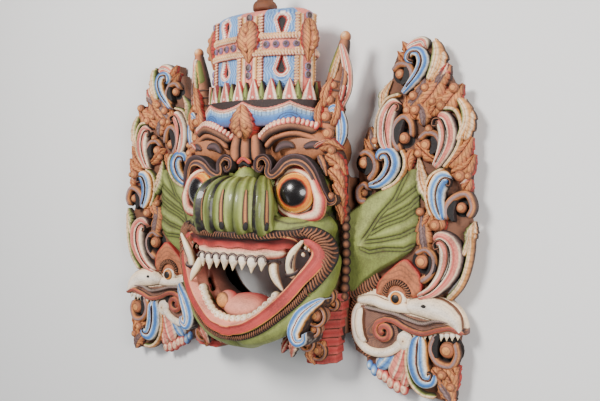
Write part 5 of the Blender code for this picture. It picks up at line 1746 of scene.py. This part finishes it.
def round_crown(into, make, height, out, spacing, paint_name, start=-180.0, stop=180.0, **settings):
    """A row round the drum. X of each copy runs round it, Y up it and Z out of it."""
    degrees = np.linspace(start, stop, 97)
    row(into, crown_place(degrees, height, out), make, spacing, paint_name, up=crown_facing(degrees),
        **settings)


for height in (LOWER_ROPE + ROPE_HEIGHT / 2, UPPER_ROPE + ROPE_HEIGHT / 2):
    round_crown(crown, twist, height, 3.2, 4.5, "rope_gold", uneven=.04)
POINT_SPACING = 27.0
POINTS_EACH_SIDE = 4
POINTS = (("olive_leaf", 9, 27, 6, POINTS_EACH_SIDE - .5), ("crown_point", 12.5, 30, 6.5,
                                                            POINTS_EACH_SIDE))
for paint_name, half, tall, out, count in POINTS:
    reach = float(np.interp(ARC_MIDDLE + count * POINT_SPACING, ARC, EVEN))
    round_crown(crown, pointed_leaf(paint_name, half, tall, 4), BAND_TOP - 1, out, POINT_SPACING,
                paint_name, start=-reach, stop=reach, uneven=.04)
round_crown(crown, jewel, (LOWER_ROPE + UPPER_ROPE + ROPE_HEIGHT) / 2, 4.4, 14.5, "jewel", start=-88,
            stop=88)
crown.finish(both_sides=False)

# %% [markdown]
# ### Straps and medallions
# Upright straps with roped edges run over both tiers, and a brown leaf medallion hides each
# place where a strap crosses the jewelled band.

# %% Straps
MEDALLION = ((388, 2), (376, 4), (358, 6), (342, 4), (326, 2))

straps = Carving("crown_straps", "face_paint", "mask_face")
for degrees in (0.0, STRAP_DEGREES, -STRAP_DEGREES):
    facing = crown_facing(degrees)
    path = [crown_place(degrees, y, -1) for y in (BAND_TOP + 2, 300, 330, 360, CROWN_TOP - 5)]
    side_on = abs(math.cos(math.radians(degrees)))
    half = 14 * side_on + 11 * (1 - side_on)
    stroke(straps, path, half, 4, "strap_pink", FLAT, up=facing, round_ends=(False, False), sink=6)
    for edge in (-STRAP_HALF, STRAP_HALF):
        edge_path = [crown_place(degrees + edge * (.85 + .35 * (1 - side_on)), y,
                                 1.5) for y in (BAND_TOP + 4, 305, 335, 365, CROWN_TOP - 5)]
        row(straps, edge_path, twist, 4.3, "rope_gold", up=crown_facing(degrees + edge), size=.9,
            uneven=.04)
    for height in (309, 320, 391):
        spot = [crown_place(degrees, height + lift, 3.6) for lift in (-.6, 0, .6)]
        row(straps, spot, lambda into: ball(into, (0, 0, 0), (5, 5, 3.2), "jewel", rings=6, sides=16), 20,
            "jewel", up=facing, uneven=0.0)
    leaf_path = [crown_place(degrees, y, out) for y, out in MEDALLION]
    stroke(straps, leaf_path, np.array((8, 16, 20, 13, 1.5)) * (.55 + .45 * side_on), (5, 7, 8, 6, 3),
           "brown_leaf", LEAF, up=facing, notch=.15, lobes=7, sink=6)
    for y, radius in ((372, 5), (358, 7), (345, 4)):
        ball(straps, crown_place(degrees, y, 11), (radius, radius, 3), "curl_brown", facing=facing)
straps.finish(both_sides=False)

# %% [markdown]
# ## The horns
# A brown finger stands on each side of the crown, a little apart from it. Its foot is ringed
# like turned wood, its upper part is painted green and gold, and a small knob ends it.
# Leaves and two painted scrolls lie against it.

# %% Horns
HORN = ((108, 214, 56), (114, 262, 56), (121, 312, 55), (129, 348, 54), (131, 360, 54))
HORN_X, HORN_Y, HORN_Z = zip(*HORN)
HORN_RADII = (21, 18, 13, 8.5, 6.5)

horns = Carving("horns", "face_paint", "mask_face")
rope(horns, HORN, HORN_RADII, "plain_brown", sides=24)
rope(horns, ((117, 306, 60), (124, 330, 59), (129, 350, 57)), (9.5, 8, 6), "horn_top", sides=20)
ball(horns, (131, 360, 54), (7.6, 8.5, 7.6), "horn_tip", facing=(0, .4, 1), rings=10, sides=24)
for height in (222, 232, 242, 252, 263, 274, 286, 298):
    x, z, radius = [np.interp(height, HORN_Y, values) for values in (HORN_X, HORN_Z, HORN_RADII)]
    ring(horns, (x, height, z), (.14, 1, 0), (radius - 1.6, radius - 1.6), 2.9, "plain_brown")
for x, y, z, radius in ((117, 226, 70, 9), (114, 249, 72, 8), (118, 272, 71, 7), (122, 292, 68, 6)):
    ball(horns, (x, y, z), radius, "curl_brown")
HORN_LEAVES = (
    ("brown_leaf", ((110, 262, 72), (114, 284, 74), (122, 306, 68)), 8),
    ("brown_leaf", ((124, 236, 70), (130, 256, 68), (128, 278, 66)), 7),
    ("mauve_leaf", ((130, 284, 58), (134, 304, 58), (132, 326, 56)), 6),
    ("red_leaf", ((130, 270, 60), (133, 288, 58), (133, 304, 56)), 5),
    ("brown_leaf", ((104, 234, 74), (104, 256, 76), (110, 276, 74)), 7),
    ("gold_leaf", ((120, 300, 66), (125, 322, 64), (129, 344, 60)), 5),
)
leaves(horns, HORN_LEAVES, 8)
stroke(horns, ((128, 208, 58), (132, 226, 60), (131, 246, 62), (124, 260, 66), (117, 256, 70)),
       (4, 8, 8, 6, 4), 9, "blue_scroll", up=(.35, 0, 1))
stroke(horns, ((126, 262, 54), (134, 288, 52), (134, 314, 54), (130, 338, 58), (127, 350, 60)),
       (4, 7, 8, 6, 3), 8, "pink_scroll", up=(.5, 0, 1), section=ROUND, sink=6)
horns.finish()

# %% [markdown]
# ## The bud
# The photograph's edge cuts the crown's finial off, so it ends in a plain turned bud in bare
# wood, in keeping with the stem that can be seen.

# %% Bud
BUD_PROFILE = ((0.3, 16), (3, 18), (8, 18), (11, 16.5), (13, 15.5), (15, 12.5), (17, 12), (21, 12.6),
               (24, 12.8), (29, 12), (34, 9.8), (38, 7.6), (42, 4.8), (43.6, 2.2), (44, .5))
low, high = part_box("crown_finial")
seat = low[1] / MM - SHIFT_Y
bud_middle = ((low[0] + high[0]) / 2 / MM, (low[2] + high[2]) / 2 / MM)
heights, radii = smooth_path([(h, r, 0) for h, r in BUD_PROFILE], 1.0)[:, :2].T
angles = np.linspace(0, math.tau, 64, endpoint=False)
flutes = 1 - .05 * np.cos(angles * 8)[None] ** 2 * ((heights > 17) & (heights < 40))[:, None]
size = np.clip(radii, .3, 17.9)[:, None] * flutes
bud = Carving("bud", "bare_wood", "crown_finial")
bud_points = np.stack([bud_middle[0] + size * np.sin(angles), np.broadcast_to(seat + heights[:, None],
    size.shape), bud_middle[1] + size * np.cos(angles)], axis=-1)
bud_uvs = np.stack([np.broadcast_to(angles / math.tau, size.shape),
                    np.broadcast_to(heights[:, None] * MM, size.shape)], axis=-1)
bud.grid(bud_points, bud_uvs, "bud_wood")
bud.finish(both_sides=False)
